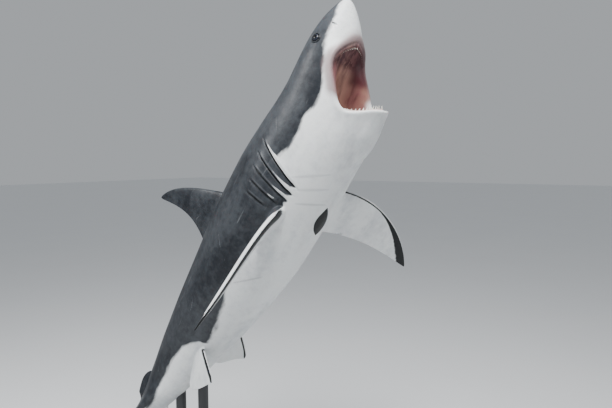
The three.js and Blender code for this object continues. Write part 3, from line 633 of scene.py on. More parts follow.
def settle(points):
    """Moves points onto the zero level of the skin field."""
    for _ in range(SETTLE_ROUNDS):
        value = skin_field(*points.T)
        slope = gradient(skin_field, points, SETTLE_STEP)
        move = value[:, None] * slope / np.maximum((slope**2).sum(1, keepdims=True), LEAST_SLOPE)
        length = np.linalg.norm(move, axis=1, keepdims=True)
        points = points - move * np.minimum(1, LONGEST_MOVE / np.maximum(length, TINY))
    return points


def mesh_of(name, vertices, faces):
    mesh = bpy.data.meshes.new(name)
    mesh.from_pydata(np.asarray(vertices).tolist(), [], [list(map(int, face)) for face in faces])
    mesh.update()
    return mesh


def object_of(name, mesh):
    thing = bpy.data.objects.new(name, mesh)
    bpy.context.scene.collection.objects.link(thing)
    return thing


def coordinates(mesh, kind="co"):
    """The vertices' places, or with kind normal their normals, as rows."""
    flat = np.empty(len(mesh.vertices) * 3)
    mesh.vertices.foreach_get(kind, flat)
    return flat.reshape(-1, 3)


def set_coordinates(mesh, points):
    mesh.vertices.foreach_set("co", np.asarray(points, np.float32).ravel())
    mesh.update()


# How near the head's small forms the mesh is finer.
EYE_REACH = 60 * MM
NOSTRIL_REACH = (45 * MM, 40 * MM)
LIP_REACH = (0.010, 0.012)
GUM_REACH = 0.008
MOUTH_END = 0.16


def wants_detail(points):
    """Where the head's small forms need a finer mesh: lips, gums, eyes and nostrils."""
    x, y, z = points.T
    eye = np.linalg.norm(np.stack([x, np.abs(y), z], 1) - EYE_MIDDLE, axis=1) < EYE_REACH
    nostril = np.abs(x - NOSTRIL["x"]) < NOSTRIL_REACH[0]
    nostril = nostril & (np.abs(z - NOSTRIL["z"]) < NOSTRIL_REACH[1])
    lips = (np.abs(mouth_field(x, y, z)) < LIP_REACH[0]) & (np.abs(body_field(x, y, z)) < LIP_REACH[1])
    gums = gum_distance(x, y, z) < GUM_REACH
    return eye | nostril | ((lips | gums) & (x < MOUTH_END))


def refine(mesh):
    """Halves the mesh's edges where detail is wanted."""
    wanted = wants_detail(coordinates(mesh))
    form = bmesh.new()
    form.from_mesh(mesh)
    form.verts.ensure_lookup_table()
    edges = [e for e in form.edges if wanted[e.verts[0].index] and wanted[e.verts[1].index]]
    bmesh.ops.subdivide_edges(form, edges=edges, cuts=1, use_grid_fill=True)
    form.to_mesh(mesh)
    form.free()


def body_mesh():
    """The body with its mouth, eye sockets, gills and nostrils, without fins."""
    xs, ys, zs = grid_axes()
    half = sampled_field(xs, ys, zs)
    value = np.concatenate([half[:, :0:-1], half], axis=1)
    vertices, quads = surface_net(value, (xs, np.concatenate([-ys[:0:-1], ys]), zs))
    mesh = mesh_of("skin", settle(vertices), quads)
    refine(mesh)
    set_coordinates(mesh, settle(coordinates(mesh)))
    return mesh


# ---- fins

FIN_RINGS = 96
FIN_SIDES = 64
FIN_EASE = 0.9  # crowds a fin's rings towards its tip
FIN_TAPER = 0.8
FIN_TIP = 7  # thickness at the tip where the fin names none, millimetres
TIP_CHORD = 0.05
FLARE_END = 0.35  # share of the span up to which the root swells
BLADE_SECTION = {"scale": 2.6, "front": 0.5, "rear": 1.15}  # blunt in front, fine behind


def bezier(points, t):
    a, b, c, d = (np.array(p, float) for p in points)
    t = t[:, None]
    return a * (1 - t) ** 3 + 3 * b * t * (1 - t) ** 2 + 3 * c * t * t * (1 - t) + d * t**3


def fin_normal(fin):
    if "side" not in fin:
        return np.array([0.0, 1.0, 0.0])
    lead, trail = np.array(fin["lead"], float), np.array(fin["trail"], float)
    normal = unit(np.cross(lead[3] - lead[0], trail[0] - lead[0]))
    return normal * [1, fin["side"], 1]


def tube_faces(rings, sides):
    """Quads between one ring of vertices and the next."""
    i, j = np.indices((rings - 1, sides)).reshape(2, -1)
    near, k = i * sides, (j + 1) % sides
    return np.stack([near + j, near + k, near + sides + k, near + sides + j], 1).tolist()


def outward_mesh(name, vertices, faces):
    """A closed mesh with its faces turned outwards."""
    mesh = mesh_of(name, vertices, faces)
    form = bmesh.new()
    form.from_mesh(mesh)
    bmesh.ops.recalc_face_normals(form, faces=form.faces)
    form.to_mesh(mesh)
    form.free()
    return mesh


def fin_mesh(name, fin):
    """A closed blade of rings from a little inside the body to the fin's tip."""
    side = np.array([1, fin.get("side", 1), 1])
    eased = np.sin(np.linspace(0, 1, FIN_RINGS) * math.pi / 2) ** FIN_EASE
    lead, trail = bezier(fin["lead"], eased) * side, bezier(fin["trail"], eased) * side
    rounding = np.maximum(TIP_CHORD, np.sqrt(1 - np.minimum(eased, 1) ** TIP_ROUNDING))[:, None]
    chord = trail - lead
    lead = lead + chord * (1 - rounding) / 2
    chord = chord * rounding
    tip = fin.get("tip", FIN_TIP)
    swell = fin["flare"] * np.maximum(0, 1 - eased / FLARE_END) ** 2
    thickness = (tip + (fin["thick"] - tip) * (1 - eased) ** FIN_TAPER + swell) * MM
    turn = np.arange(FIN_SIDES) / FIN_SIDES
    x = (1 + np.cos(2 * math.pi * turn)) / 2
    section = BLADE_SECTION["scale"] * x ** BLADE_SECTION["front"] * (1 - x) ** BLADE_SECTION["rear"]
    half = (FIN_EDGE * x + thickness[:, None] * section * rounding**0.5) / 2
    face = np.where(turn < 0.5, 1, -1) * (turn != 0) * (turn != 0.5)
    points = lead[:, None] + chord[:, None] * x[:, None] + (half * face)[..., None] * fin_normal(fin)
    vertices = np.concatenate([points.reshape(-1, 3), [points[0].mean(0), points[-1].mean(0)]])
    faces = tube_faces(FIN_RINGS, FIN_SIDES)
    root, last = FIN_RINGS * FIN_SIDES, (FIN_RINGS - 1) * FIN_SIDES
    for j in range(FIN_SIDES):
        k = (j + 1) % FIN_SIDES
        faces += [[root, k, j], [root + 1, last + j, last + k]]
    return outward_mesh(name, vertices, faces)


def unite(thing, other):
    """Joins another closed mesh object to a piece and removes the other."""
    cut = thing.modifiers.new("join", "BOOLEAN")
    cut.operation = "UNION"
    cut.solver = "MANIFOLD"
    cut.object = other
    graph = bpy.context.evaluated_depsgraph_get()
    mesh = bpy.data.meshes.new_from_object(thing.evaluated_get(graph))
    thing.modifiers.clear()
    mesh.materials.clear()
    thing.data = mesh
    bpy.data.objects.remove(other)


def tree_of(places):
    """A search tree that finds the nearest of some places."""
    tree = kdtree.KDTree(len(places))
    for i, place in enumerate(places):
        tree.insert(place, i)
    tree.balance()
    return tree


JOIN_REACH = 0.0075
JOIN_ROUNDS = 24
JOIN_STRENGTH = 0.6
JOIN_FROM = GILLS["first"] + 0.03  # the gills ahead of this station stay crisp
OFF_BODY = 1.2 * MM


def fillet_joins(mesh):
    """Smooths the mesh in a band around the lines where the fins leave the body."""
    points = coordinates(mesh)
    count = len(points)
    edges = np.empty(len(mesh.edges) * 2, int)
    mesh.edges.foreach_get("vertices", edges)
    a, b = edges.reshape(-1, 2).T
    fin = body_field(*points.T) > OFF_BODY
    chosen = (fin[a] != fin[b]) & (points[a, 0] > JOIN_FROM)
    seam = np.zeros(count, bool)
    seam[a[chosen]] = seam[b[chosen]] = True
    tree = tree_of(points[seam])
    weight = np.zeros(count)
    for i in np.nonzero(points[:, 0] > GILLS["first"])[0]:
        weight[i] = max(0, 1 - tree.find(points[i])[2] / JOIN_REACH)
    weight = smooth(0, 1, weight)[:, None]
    degree = np.maximum(np.bincount(edges, minlength=count), 1)
    for _ in range(JOIN_ROUNDS):
        total = [np.bincount(a, line[b], count) + np.bincount(b, line[a], count) for line in points.T]
        points = points + ((total / degree).T - points) * weight * JOIN_STRENGTH
    set_coordinates(mesh, points)


# ---- markings, per vertex

# Lower edge of the grey back along the body: station and height.
GREY_EDGE = [
    (0.000, 0.002), (0.037, -0.005), (0.062, -0.006), (0.091, -0.016), (0.120, -0.025),
    (0.143, -0.027), (0.166, -0.018), (0.184, -0.020), (0.207, -0.019), (0.230, -0.013),
    (0.244, -0.032), (0.258, -0.047), (0.300, -0.050), (0.360, -0.043), (0.464, -0.034),
    (0.497, -0.040), (0.543, -0.039), (0.581, -0.039), (0.588, -0.029), (0.607, -0.016),
    (0.635, -0.006), (0.663, -0.002), (0.696, -0.002), (0.726, -0.004), (0.756, -0.011),
    (0.790, -0.006), (0.860, -0.006), (0.900, -0.010), (1.000, -0.020),
]
grey_edge = monotone(*zip(*GREY_EDGE))

# Ranges over which the marks fade: by distance, by station, and by share of a fin's leading edge.
FADES = {
    "fin": (9 * MM, 24 * MM),
    "fin_line": (1 * MM, 7 * MM),
    "tail": (4 * MM, 12 * MM),
    "lid": (2 * MM, 8 * MM),
    "gum": (GUM_RADIUS * 0.9, GUM_RADIUS * 1.8),
    "upper_jaw": (0.006, 0.020),
    "patch": (0.0010, -0.0025),
    "pelvic_station": (0.50, 0.55),
    "tail_station": (0.82, 0.86),
    "highlight_start": (0.07, 0.19),
    "highlight_stop": (0.88, 0.97),
    "line_start": (0.0, 0.15),
    "highlight_width": (0.6, 1.4),  # shares of the widths at which the painted highlight and the line of painted shade fade
    "line_width": (0.5, 1.5),
    "lens": (-0.10, 0.20),
    "underside": (0.35, -0.05),  # how far up the fin looks there
}


def fade(name, value):
    return smooth(*FADES[name], value)


AXIL_SPOT = {
    "x": 0.290, "y": -0.008, "below": -0.03,
    "length": 0.0265, "width": 0.0125, "slant": 0.17, "swell": 0.35,
}
# Painted shadow in the notch between the last gill flap and the right pectoral's root
ROOT_SHADOW_PATCH = (0.303, -0.0615, -0.042), (0.022, 0.014, 0.0135)
SPECK_PATCH = (0.2848, -0.0640, -0.0400), (0.011, 0.012, 0.014)
TRAIL_PATCH = (0.3418, 0.1074, -0.0776), (0.007, 0.014, 0.014)
SPECK_INK = 0.40  # dark only where the markings' noise is high

# Thin creases, darkened as painted shade, and scars on the right side: start and end as station and
# height, and half width.
CREASES = [
    ((0.2430, -0.0430), (0.2178, -0.0802), 9 * MM),
    ((0.2580, -0.0530), (0.2374, -0.0850), 9 * MM),
    ((0.2753, -0.0630), (0.2606, -0.0893), 7 * MM),
    ((0.4466, -0.0370), (0.4099, -0.0696), 5 * MM),
    ((0.3940, 0.0210), (0.4130, 0.0020), 1.6 * MM),
    ((0.1860, 0.0240), (0.2020, 0.0110), 1.4 * MM),
    ((0.5240, 0.0150), (0.5480, 0.0080), 1.6 * MM),
]


CREASE_TAPER = (0.35, 0.65)  # share of the width that the ends keep, and that the middle adds
FULL_DEPTH = 4 * MM  # wider marks than this are fainter


def scar_and_crease_shade_marks(x, y, z):
    """1 on the scars of the right side, and on its creases, which are darkened as painted shade."""
    found = np.zeros(x.shape)
    for (x_start, z_start), (x_end, z_end), width in CREASES:
        run, rise = x_end - x_start, z_end - z_start
        share = np.clip(((x - x_start) * run + (z - z_start) * rise) / (run**2 + rise**2), 0, 1)
        aside = np.hypot(x - x_start - share * run, z - z_start - share * rise)
        taper = CREASE_TAPER[0] + CREASE_TAPER[1] * np.sin(math.pi * share)
        depth = min(1, FULL_DEPTH / width)
        found = np.maximum(found, depth * np.exp(-((aside / (width * taper)) ** 2)))
    return found * (y < 0)


def patch(x, y, z, place):
    """1 in a soft-edged patch round a place."""
    return fade("patch", ellipsoid_field(x, y, z, *place))


def dark_patches(x, y, z):
    """The black lens behind the left pectoral's root, and the specks at both pectorals' roots."""
    aft = x - AXIL_SPOT["x"]
    along = aft / AXIL_SPOT["length"]
    width = AXIL_SPOT["width"] * (1 + AXIL_SPOT["swell"] * along)
    across = (y - AXIL_SPOT["y"] - AXIL_SPOT["slant"] * aft) / width
    lens = fade("lens", 1 - along**2 - np.abs(across)) * (z < AXIL_SPOT["below"])
    specks = patch(x, y, z, SPECK_PATCH) + patch(x, y, z, TRAIL_PATCH)
    return np.maximum(lens, SPECK_INK * specks)


# Fins with a painted highlight along the leading edge and a dark line of painted shade behind it,
# which widens into the fin's dark tip: the highlight's width above and below, the line's width along
# the edge and at the tip, all in millimetres, and the share of the edge from which the line grows to its
# width at the tip.
LEAD_LINES = [
    ("pectoral_left", 12, 9, 11, 76, 0.42),
    ("pectoral_right", 25, 5, 44, 46, 0.88),
    ("pelvic_left", 5, 6, 14, 16, 0.50),
    ("pelvic_right", 3, 3, 30, 24, -0.90),
]
LINE_TAPER = 0.4
LINE_FULL = 0.98  # share of the edge where the line has its width at the tip
LINE_PLACES = 241  # a fin's leading edge is searched at this many places
LINE_REACH = 0.10  # and this far along the body from its middle
FINS_FROM = 0.24  # first station of the fins
FIN_ASIDE = 0.02  # the paired fins' least distance from the middle plane
UP_SHARE = 0.88  # of straight up and sideways in the way that a paired fin's upper face looks
SIDE_SHARE = 0.47
LEAD_HIGHLIGHT = 0.014  # as far inside the white as the painted highlight on a fin's leading edge is drawn
PECTORAL_PALE = (0.003, 0.030)  # the same for the paired fins, less for what looks up
PELVIC_PALE = 0.012
LEAST_PROUD = 0.1
ROOT_SHADOW_DEPTH = 0.05


def lead_highlight_shade_and_tips(points, chosen, upward):
    """The paired fins' leading edges: a painted highlight along the edge, and behind it a dark line of
    painted shade that widens into the dark tip.
    """
    pale, ink_and_edge_shade = np.zeros(len(points)), np.zeros(len(points))
    span = np.linspace(0, 1, LINE_PLACES)
    for name, pale_above, pale_below, line_width, tip_width, grows_from in LEAD_LINES:
        fin = FINS[name]
        line = bezier(fin["lead"], span) * [1, fin["side"], 1]
        reach = np.abs(points[:, 0] - line[:, 0].mean()) < LINE_REACH
        here = np.nonzero(chosen & reach & (points[:, 1] * fin["side"] > FIN_ASIDE))[0]
        tree = tree_of(line)
        found = [tree.find(point) for point in points[here]]
        gap, along = np.array([hit[2] for hit in found]), span[[hit[1] for hit in found]]
        grown = smooth(grows_from, LINE_FULL, along)
        below = fade("underside", upward[here])
        border = (pale_above * (1 - below) + pale_below * below) * MM
        tapered = line_width * (1 - LINE_TAPER * along)
        width = (tapered + (tip_width - tapered) * grown) * MM
        dark = 1 - fade("line_width", (gap - border) / width)
        # The pale edge is a painted highlight; the dark line under it is painted shade, widening into
        # the dark tip
        edge = (1 - fade("highlight_width", gap / border)) * fade("highlight_start", along)
        edge = edge * (1 - fade("highlight_stop", along))
        pale[here] = edge
        ink_and_edge_shade[here] = dark * (1 - edge) * fade("line_start", along) * np.maximum(below, grown)
    return pale, ink_and_edge_shade


def add_attribute(mesh, name, values):
    kind = "FLOAT" if values.ndim == 1 else "FLOAT_VECTOR"
    field = mesh.attributes.new(name, kind, "POINT")
    key = "value" if values.ndim == 1 else "vector"
    field.data.foreach_set(key, np.asarray(values, np.float32).ravel())


def mark(mesh):
    """Stores where each vertex lies, and what grows there, for the skin's material."""
    points = coordinates(mesh)
    x, y, z = points.T
    sideways, up = coordinates(mesh, "normal").T[1:]
    off = body_field(x, y, z)
    low = (x > FINS_FROM) * (np.abs(y) > FIN_ASIDE) * (z < 0)
    paired = fade("fin", off) * low
    proud = fade("fin_line", off) * low
    upward = up * UP_SHARE + sideways * np.sign(y) * SIDE_SHARE
    pelvic = fade("pelvic_station", x)
    under = (PECTORAL_PALE[0] - PECTORAL_PALE[1] * upward) * (1 - pelvic) + PELVIC_PALE * pelvic
    edge, line = lead_highlight_shade_and_tips(points, proud > LEAST_PROUD, upward)
    pale = (grey_edge(x) - z) * (1 - paired) + under * paired
    # Painted highlight along the paired fins' leading edges
    pale = pale * (1 - edge * proud) + LEAD_HIGHLIGHT * edge * proud
    # Painted shadow: the grey back is drawn down over the right pectoral's root
    pale = pale - ROOT_SHADOW_DEPTH * patch(x, y, z, ROOT_SHADOW_PATCH)
    marks = {
        "lie": points,
        "pale": pale,
        # Dark marks, and the painted shade under the paired fins' lit leading edges
        "ink_and_edge_shade": np.maximum(line * proud, dark_patches(x, y, z)),
        "tail": fade("tail_station", x) * fade("tail", off),
        # Painted shade: the skin round each eyeball is darkened
        "lid": 1 - fade("lid", eye_fields(x, y, z)[0]),
        "upper": fade("upper_jaw", mouth_planes(x, z)[1]),
        # Painted highlight on the gill flaps' edges and painted shade in the slits
        "gill": gill_highlight_and_shade(x, z) * (1 - paired),
        "scar_and_crease_shade": scar_and_crease_shade_marks(x, y, z),
        "inner": -off - mouth_field(x, y, z),
        "gum": 1 - fade("gum", gum_distance(x, y, z)),
    }
    for name, values in marks.items():
        add_attribute(mesh, name, values)


def make_skin():
    skin = object_of("shark_skin", body_mesh())
    for name, fin in FINS.items():
        unite(skin, object_of(name, fin_mesh(name, fin)))
    fillet_joins(skin.data)
    mark(skin.data)
    set_coordinates(skin.data, posed(coordinates(skin.data)))
    skin.data.shade_smooth()
    return skin


# ---- eyes and teeth


def make_eye(side, name):
    form = bmesh.new()
    bmesh.ops.create_uvsphere(form, u_segments=48, v_segments=24, radius=EYE["radius"])
    outward = EYE_NORMAL * [1, side, 1]
    turn = Vector((0, 0, 1)).rotation_difference(Vector(outward)).to_matrix().to_4x4()
    bmesh.ops.transform(form, matrix=Matrix.Translation(eye_centre(side)) @ turn, verts=form.verts)
    mesh = bpy.data.meshes.new(name)
    form.to_mesh(mesh)
    form.free()
    straight = coordinates(mesh)
    add_attribute(mesh, "gaze", (straight - eye_centre(side)) @ outward / EYE["radius"])
    set_coordinates(mesh, posed(straight))
    mesh.shade_smooth()
    return object_of(name, mesh)


TOOTH_RINGS = 18
TOOTH_FRONT = np.linspace(-1, 1, 7)  # places across the front, then back across the rear
TOOTH_REAR = TOOTH_FRONT[-2:0:-1]
TOOTH_SIDES = len(TOOTH_FRONT) + len(TOOTH_REAR)
SERRATION = 1.045
SERRATED = (0.12, 0.97)  # shares of the height between which the edges are serrated


def tooth_shape():
    """Vertices and faces of a blade with serrated edges, one wide and one high, root to tip."""
    rise = np.linspace(0, 1, TOOTH_RINGS)[:, None]
    odd = (np.arange(TOOTH_RINGS) % 2 == 1)[:, None]
    serrated = odd & (rise > SERRATED[0]) & (rise < SERRATED[1])
    half = (0.5 * (1 - rise) ** 0.92 + 0.008) * np.where(serrated, SERRATION, 1)
    thick = 0.5 * (1 - rise) ** 0.7 + 0.02
    across = half * np.concatenate([TOOTH_FRONT, TOOTH_REAR])
    front = 0.45 * thick * (1 - TOOTH_FRONT**2)
    rear = -0.9 * thick * (1 - TOOTH_REAR**2) ** 0.8
    shape = np.stack([across, np.concatenate([front, rear], 1), rise + 0 * across], 2)
    root = list(range(TOOTH_SIDES))
    tip = [(TOOTH_RINGS - 1) * TOOTH_SIDES + i for i in root]
    return shape.reshape(-1, 3), tube_faces(TOOTH_RINGS, TOOTH_SIDES) + [root, tip]


def jaw_teeth(name, angle_at, reach, lean, scale, inward):
    """The teeth of one jaw as one mesh. inward is 1 for the upper jaw and -1 for the lower one."""
    shape, faces = tooth_shape()
    count = 2 * TEETH_PER_SIDE
    shares = (2 * np.arange(count) + 1) / count - 1
    turns = shares * math.radians(TOOTH_ROW_TURN)
    feet, directions = tooth_row(angle_at, reach, turns)
    tilt = math.radians(lean)
    vertices, all_faces, heights = [], [], []
    for foot, direction, turn, share in zip(feet, directions, turns, shares):
        forward = np.array([direction[0], 0, direction[1]])
        upright = np.array([-direction[1], 0, direction[0]]) * inward
        size = scale * (1 - (1 - SMALLEST_TOOTH) * share**2)
        outward = forward * math.cos(turn) + np.array([0, math.sin(turn), 0])
        across = np.cross(upright, outward)
        height = (TOOTH["height"] + TOOTH["root"]) * size
        a = shape[:, 0] * TOOTH["width"] * size
        b = shape[:, 1] * TOOTH["thickness"] * size
        c = shape[:, 2] * height - TOOTH["root"]
        b, c = b * math.cos(tilt) - c * math.sin(tilt), b * math.sin(tilt) + c * math.cos(tilt)
        all_faces += [tuple(len(vertices) * len(shape) + i for i in face) for face in faces]
        vertices.append(foot + a[:, None] * across + b[:, None] * outward + c[:, None] * upright)
        heights.append(shape[:, 2] - UPPER_GUM_COVER * (inward > 0))
    mesh = outward_mesh(name, posed(np.concatenate(vertices)), all_faces)
    add_attribute(mesh, "height", np.concatenate(heights))
    mesh.shade_smooth()
    return object_of(name, mesh)


# ---- materials


class Nodes:
    """Short calls for the nodes of one material."""

    def __init__(self, name):
        self.material = bpy.data.materials.new(name)
        self.material.use_nodes = True
        self.tree = self.material.node_tree

    def feed(self, socket, value):
        if isinstance(value, bpy.types.NodeSocket):
            self.tree.links.new(value, socket)
        else:
            socket.default_value = value

    def add(self, kind, inputs, **settings):
        """The outputs of a new node. inputs are pairs of a socket's name or number and its value."""
        node = self.tree.nodes.new("ShaderNode" + kind)
        for key, value in settings.items():
            setattr(node, key, value)
        for key, value in inputs:
            self.feed(node.inputs[key], value)
        return node.outputs

    def surface(self, **values):
        """Sets or links the shader's sockets, named with _ for each space."""
        for name, value in values.items():
            self.feed(self.tree.nodes["Principled BSDF"].inputs[name.replace("_", " ")], value)
        return self.material

    def attribute(self, name, kind="Fac"):
        return self.add("Attribute", (), attribute_name=name)[kind]

    def place(self):
        return self.add("TexCoord", ())["Object"]

    def math(self, operation, *values):
        return self.add("Math", enumerate(values), operation=operation)[0]

    def times(self, a, b):
        return self.math("MULTIPLY", a, b)

    def scaled(self, value, scale, offset):
        return self.math("MULTIPLY_ADD", value, scale, offset)

    def ramp(self, value, low, high):
        """0 below low and 1 above high, smooth between; low may be the greater one."""
        values = enumerate((value, low, high, 0.0, 1.0))
        return self.add("MapRange", values, interpolation_type="SMOOTHSTEP")[0]

    def noise(self, vector, scale, detail=4.0, roughness=0.55, distortion=0.0):
        names = ("Vector", "Scale", "Detail", "Roughness", "Distortion")
        return self.add("TexNoise", zip(names, (vector, scale, detail, roughness, distortion)))["Fac"]

    def part(self, vector, axis):
        return self.add("SeparateXYZ", [(0, vector)])[axis]

    def stretched(self, vector, scale):
        return self.add("VectorMath", enumerate((vector, scale)), operation="MULTIPLY")[0]

    def mix(self, factor, a, b):
        a, b = [(*colour, 1.0) if isinstance(colour, tuple) else colour for colour in (a, b)]
        return self.add("Mix", [("Factor", factor), (6, a), (7, b)], data_type="RGBA")[2]

    def bump(self, height, distance, strength, *under):
        inputs = zip(("Height", "Distance", "Strength", "Normal"), (height, distance, strength, *under))
        return self.add("Bump", inputs)[0]


BACK_DARK = (0.009, 0.011, 0.015)
BACK_LIGHT = (0.044, 0.049, 0.056)
# Pale scars and scratches; also the painted highlight on the gill flaps' edges
BACK_SCAR_AND_HIGHLIGHT = (0.15, 0.16, 0.17)
BELLY = (0.72, 0.74, 0.74)
BELLY_SHADE = (0.52, 0.54, 0.56)
# Dark of the belly's scars, and the painted shade in its creases
BELLY_SCAR_AND_CREASE_SHADE = (0.24, 0.26, 0.28)
# Near-black of pores and dark marks; also the painted shade in the gill slits, round the eyes and under
# the fins' lit leading edges
INK_AND_SHADE = (0.004, 0.005, 0.006)
LIP = (0.68, 0.66, 0.65)
# Mauve-grey of the upper lip and the ring round it: partly the lip's own colour, partly painted shade
LIP_TINT_AND_SHADE = (0.26, 0.205, 0.205)
GUM = (0.62, 0.52, 0.49)
FLESH = (0.250, 0.128, 0.100)
MAUVE = (0.200, 0.078, 0.078)
# Dark band along the top of the mouth: painted shade
PALATE_SHADE = (0.056, 0.010, 0.015)
# Dark red of the lining's streaks; also the painted shade on the mouth's far side
BLOOD_AND_SHADE = (0.050, 0.008, 0.013)
# Light lining deep in the mouth: painted light
THROAT_PAINTED_LIGHT = (0.480, 0.262, 0.205)
IRIS = (0.018, 0.022, 0.034)
PUPIL = (0.002, 0.002, 0.003)
EYE_RING = (0.006, 0.006, 0.008)
ENAMEL = (0.82, 0.80, 0.73)
ENAMEL_SHADE = (0.70, 0.67, 0.58)
TOOTH_ROOT = (0.55, 0.38, 0.32)
STEEL_DARK = (0.022, 0.024, 0.026)
STEEL_LIGHT = (0.036, 0.038, 0.041)
FLOOR_COLOURS = (0.84, 0.85, 0.86), (0.87, 0.88, 0.89)
PORES_PER_METRE = 75


def pores(n, lie, place):
    """1 in the small pores that dot the snout's skin and thin out before the eye."""
    cells = n.add("TexVoronoi", [("Vector", place), ("Scale", PORES_PER_METRE)])["Distance"]
    patchy = n.ramp(n.noise(place, 9.0, 2.0), 0.44, 0.56)
    return n.times(n.times(n.ramp(cells, 0.19, 0.12), patchy), n.ramp(n.part(lie, "X"), 0.060, 0.046))


def back_and_belly(n, place, streaked):
    """Dark slate back and white belly with the ragged line between them."""
    cloud = n.noise(streaked, 5.0, 5.0)
    mottle = n.noise(place, 22.0, 6.0, 0.65)
    shade = n.math("ADD", n.times(cloud, 0.6), n.times(mottle, 0.4))
    back = n.mix(n.ramp(shade, 0.36, 0.66), BACK_DARK, BACK_LIGHT)
    scratch = n.noise(n.stretched(place, (1.0, 9.0, 9.0)), 3.2, 5.0, 0.6, 1.2)
    back = n.mix(n.times(n.ramp(scratch, 0.64, 0.72), 0.45), back, BACK_SCAR_AND_HIGHLIGHT)
    belly = n.mix(n.ramp(shade, 0.42, 0.70), BELLY, BELLY_SHADE)
    wave = n.scaled(n.noise(streaked, 7.0, 3.0, 0.55), 0.022, -0.011)
    ragged = n.scaled(n.noise(streaked, 44.0, 5.0, 0.7), 0.0070, -0.0035)
    edge = n.math("ADD", n.math("ADD", n.attribute("pale"), wave), ragged)
    # The gill attribute paints a highlight along each flap's rear edge and shade in the slit behind it,
    # and shifts the grey edge with them
    gill = n.attribute("gill")
    edge = n.scaled(gill, 0.028, edge)
    colour = n.mix(n.ramp(edge, -0.0032, 0.0038), back, belly)
    colour = n.mix(n.times(n.ramp(gill, 0.3, 1.0), 0.30), colour, BACK_SCAR_AND_HIGHLIGHT)
    colour = n.mix(n.times(n.ramp(gill, -0.30, -1.0), 0.75), colour, INK_AND_SHADE)
    # On the white, creases get painted shade and scars a dark mark; on the grey, scars are pale
    scar_and_crease_shade = n.mix(n.ramp(edge, -0.002, 0.004), BACK_SCAR_AND_HIGHLIGHT, BELLY_SCAR_AND_CREASE_SHADE)
    colour = n.mix(n.times(n.attribute("scar_and_crease_shade"), 0.7), colour, scar_and_crease_shade)
    colour = n.mix(n.attribute("tail"), colour, back)
    # Dark marks, and the painted shade under the paired fins' lit leading edges
    speck = n.scaled(n.noise(place, 60.0, 3.0), 0.5, n.attribute("ink_and_edge_shade"))
    colour = n.mix(n.ramp(speck, 0.60, 0.86), colour, INK_AND_SHADE)
    # The lid attribute darkens the skin round the eyes: painted shade
    return n.mix(n.attribute("lid"), colour, INK_AND_SHADE), mottle


def mouth_colour(n, lie, place, inner, upper):
    """Lip, gum and lining of the mouth by how far in they lie, with painted light deep in and painted
    shade at the top and on the far side.
    """
    x, y = n.part(lie, "X"), n.part(lie, "Y")
    soft = n.noise(place, 6.0, 3.0, 0.5, 0.6)
    streaks = n.noise(n.stretched(place, (0.5, 2.4, 1.0)), 9.0, 4.0, 0.6, 0.5)
    flesh = n.mix(n.ramp(soft, 0.36, 0.62), FLESH, MAUVE)
    # Deeper in, the lining turns lighter: painted light
    flesh = n.mix(n.ramp(inner, 0.035, 0.080), flesh, THROAT_PAINTED_LIGHT)
    # A dark band along the top of the mouth, broken by noise: painted shade
    palate_shade = n.times(n.ramp(x, 0.048, 0.064), n.ramp(x, 0.100, 0.083))
    veins = n.noise(n.stretched(place, (1.0, 1.6, 1.0)), 17.0, 4.0, 0.62, 1.2)
    torn = n.scaled(n.ramp(veins, 0.44, 0.55), 0.56, 0.42)
    flesh = n.mix(n.times(palate_shade, torn), flesh, PALATE_SHADE)
    # The mouth's far side towards the snout is darkened: painted shade
    hollow = n.times(n.ramp(y, 0.012, 0.026), n.ramp(x, 0.120, 0.106))
    flesh = n.mix(n.times(hollow, 0.85), flesh, BLOOD_AND_SHADE)
    flesh = n.mix(n.times(n.ramp(streaks, 0.46, 0.72), 0.55), flesh, BLOOD_AND_SHADE)
    # The upper lip is darker than the lower one: partly its own colour, partly painted shade
    flesh = n.mix(n.ramp(inner, 0.0035, 0.016), n.mix(upper, LIP, LIP_TINT_AND_SHADE), flesh)
    return n.mix(n.times(n.attribute("gum"), n.scaled(upper, -0.7, 0.75)), flesh, GUM)


def skin_material():
    n = Nodes("shark_skin")
    lie = n.attribute("lie", "Vector")
    place = n.stretched(lie, (TOTAL_LENGTH,) * 3)
    streaked = n.stretched(lie, (TOTAL_LENGTH * 0.35, TOTAL_LENGTH, TOTAL_LENGTH))
    upper = n.attribute("upper")
    inner = n.attribute("inner")
    outside, mottle = back_and_belly(n, place, streaked)
    # A darker ring round the upper lip: painted shade
    wider = n.scaled(n.ramp(n.part(lie, "X"), 0.058, 0.076), 0.004, inner)
    ring = n.times(n.ramp(wider, -0.011, -0.001), n.times(upper, 0.88))
    outside = n.mix(ring, outside, LIP_TINT_AND_SHADE)
    pore = pores(n, lie, place)
    outside = n.mix(n.times(pore, 0.6), outside, INK_AND_SHADE)
    inner = n.scaled(upper, 0.007, inner)
    within = n.ramp(inner, 0.0005, 0.0060)
    fine = n.noise(place, 160.0, 3.0)
    soft = n.bump(n.math("SUBTRACT", mottle, pore), 0.004, 0.5)
    return n.surface(
        Base_Color=n.mix(within, outside, mouth_colour(n, lie, place, inner, upper)),
        Roughness=n.scaled(within, -0.08, n.scaled(fine, 0.18, 0.32)),
        Specular_IOR_Level=0.22,
        Subsurface_Weight=0.04,
        Subsurface_Scale=0.01,
        Normal=n.bump(fine, 0.0012, 0.5, soft),
    )


def eye_material():
    """A near-black ball with a slightly lighter iris round the pupil."""
    n = Nodes("shark_eye")
    gaze = n.attribute("gaze")
    iris = n.mix(n.ramp(gaze, 0.86, 0.90), IRIS, PUPIL)
    colour = n.mix(n.ramp(gaze, 0.70, 0.80), EYE_RING, iris)
    return n.surface(Base_Color=colour, Roughness=0.26, Specular_IOR_Level=0.16)


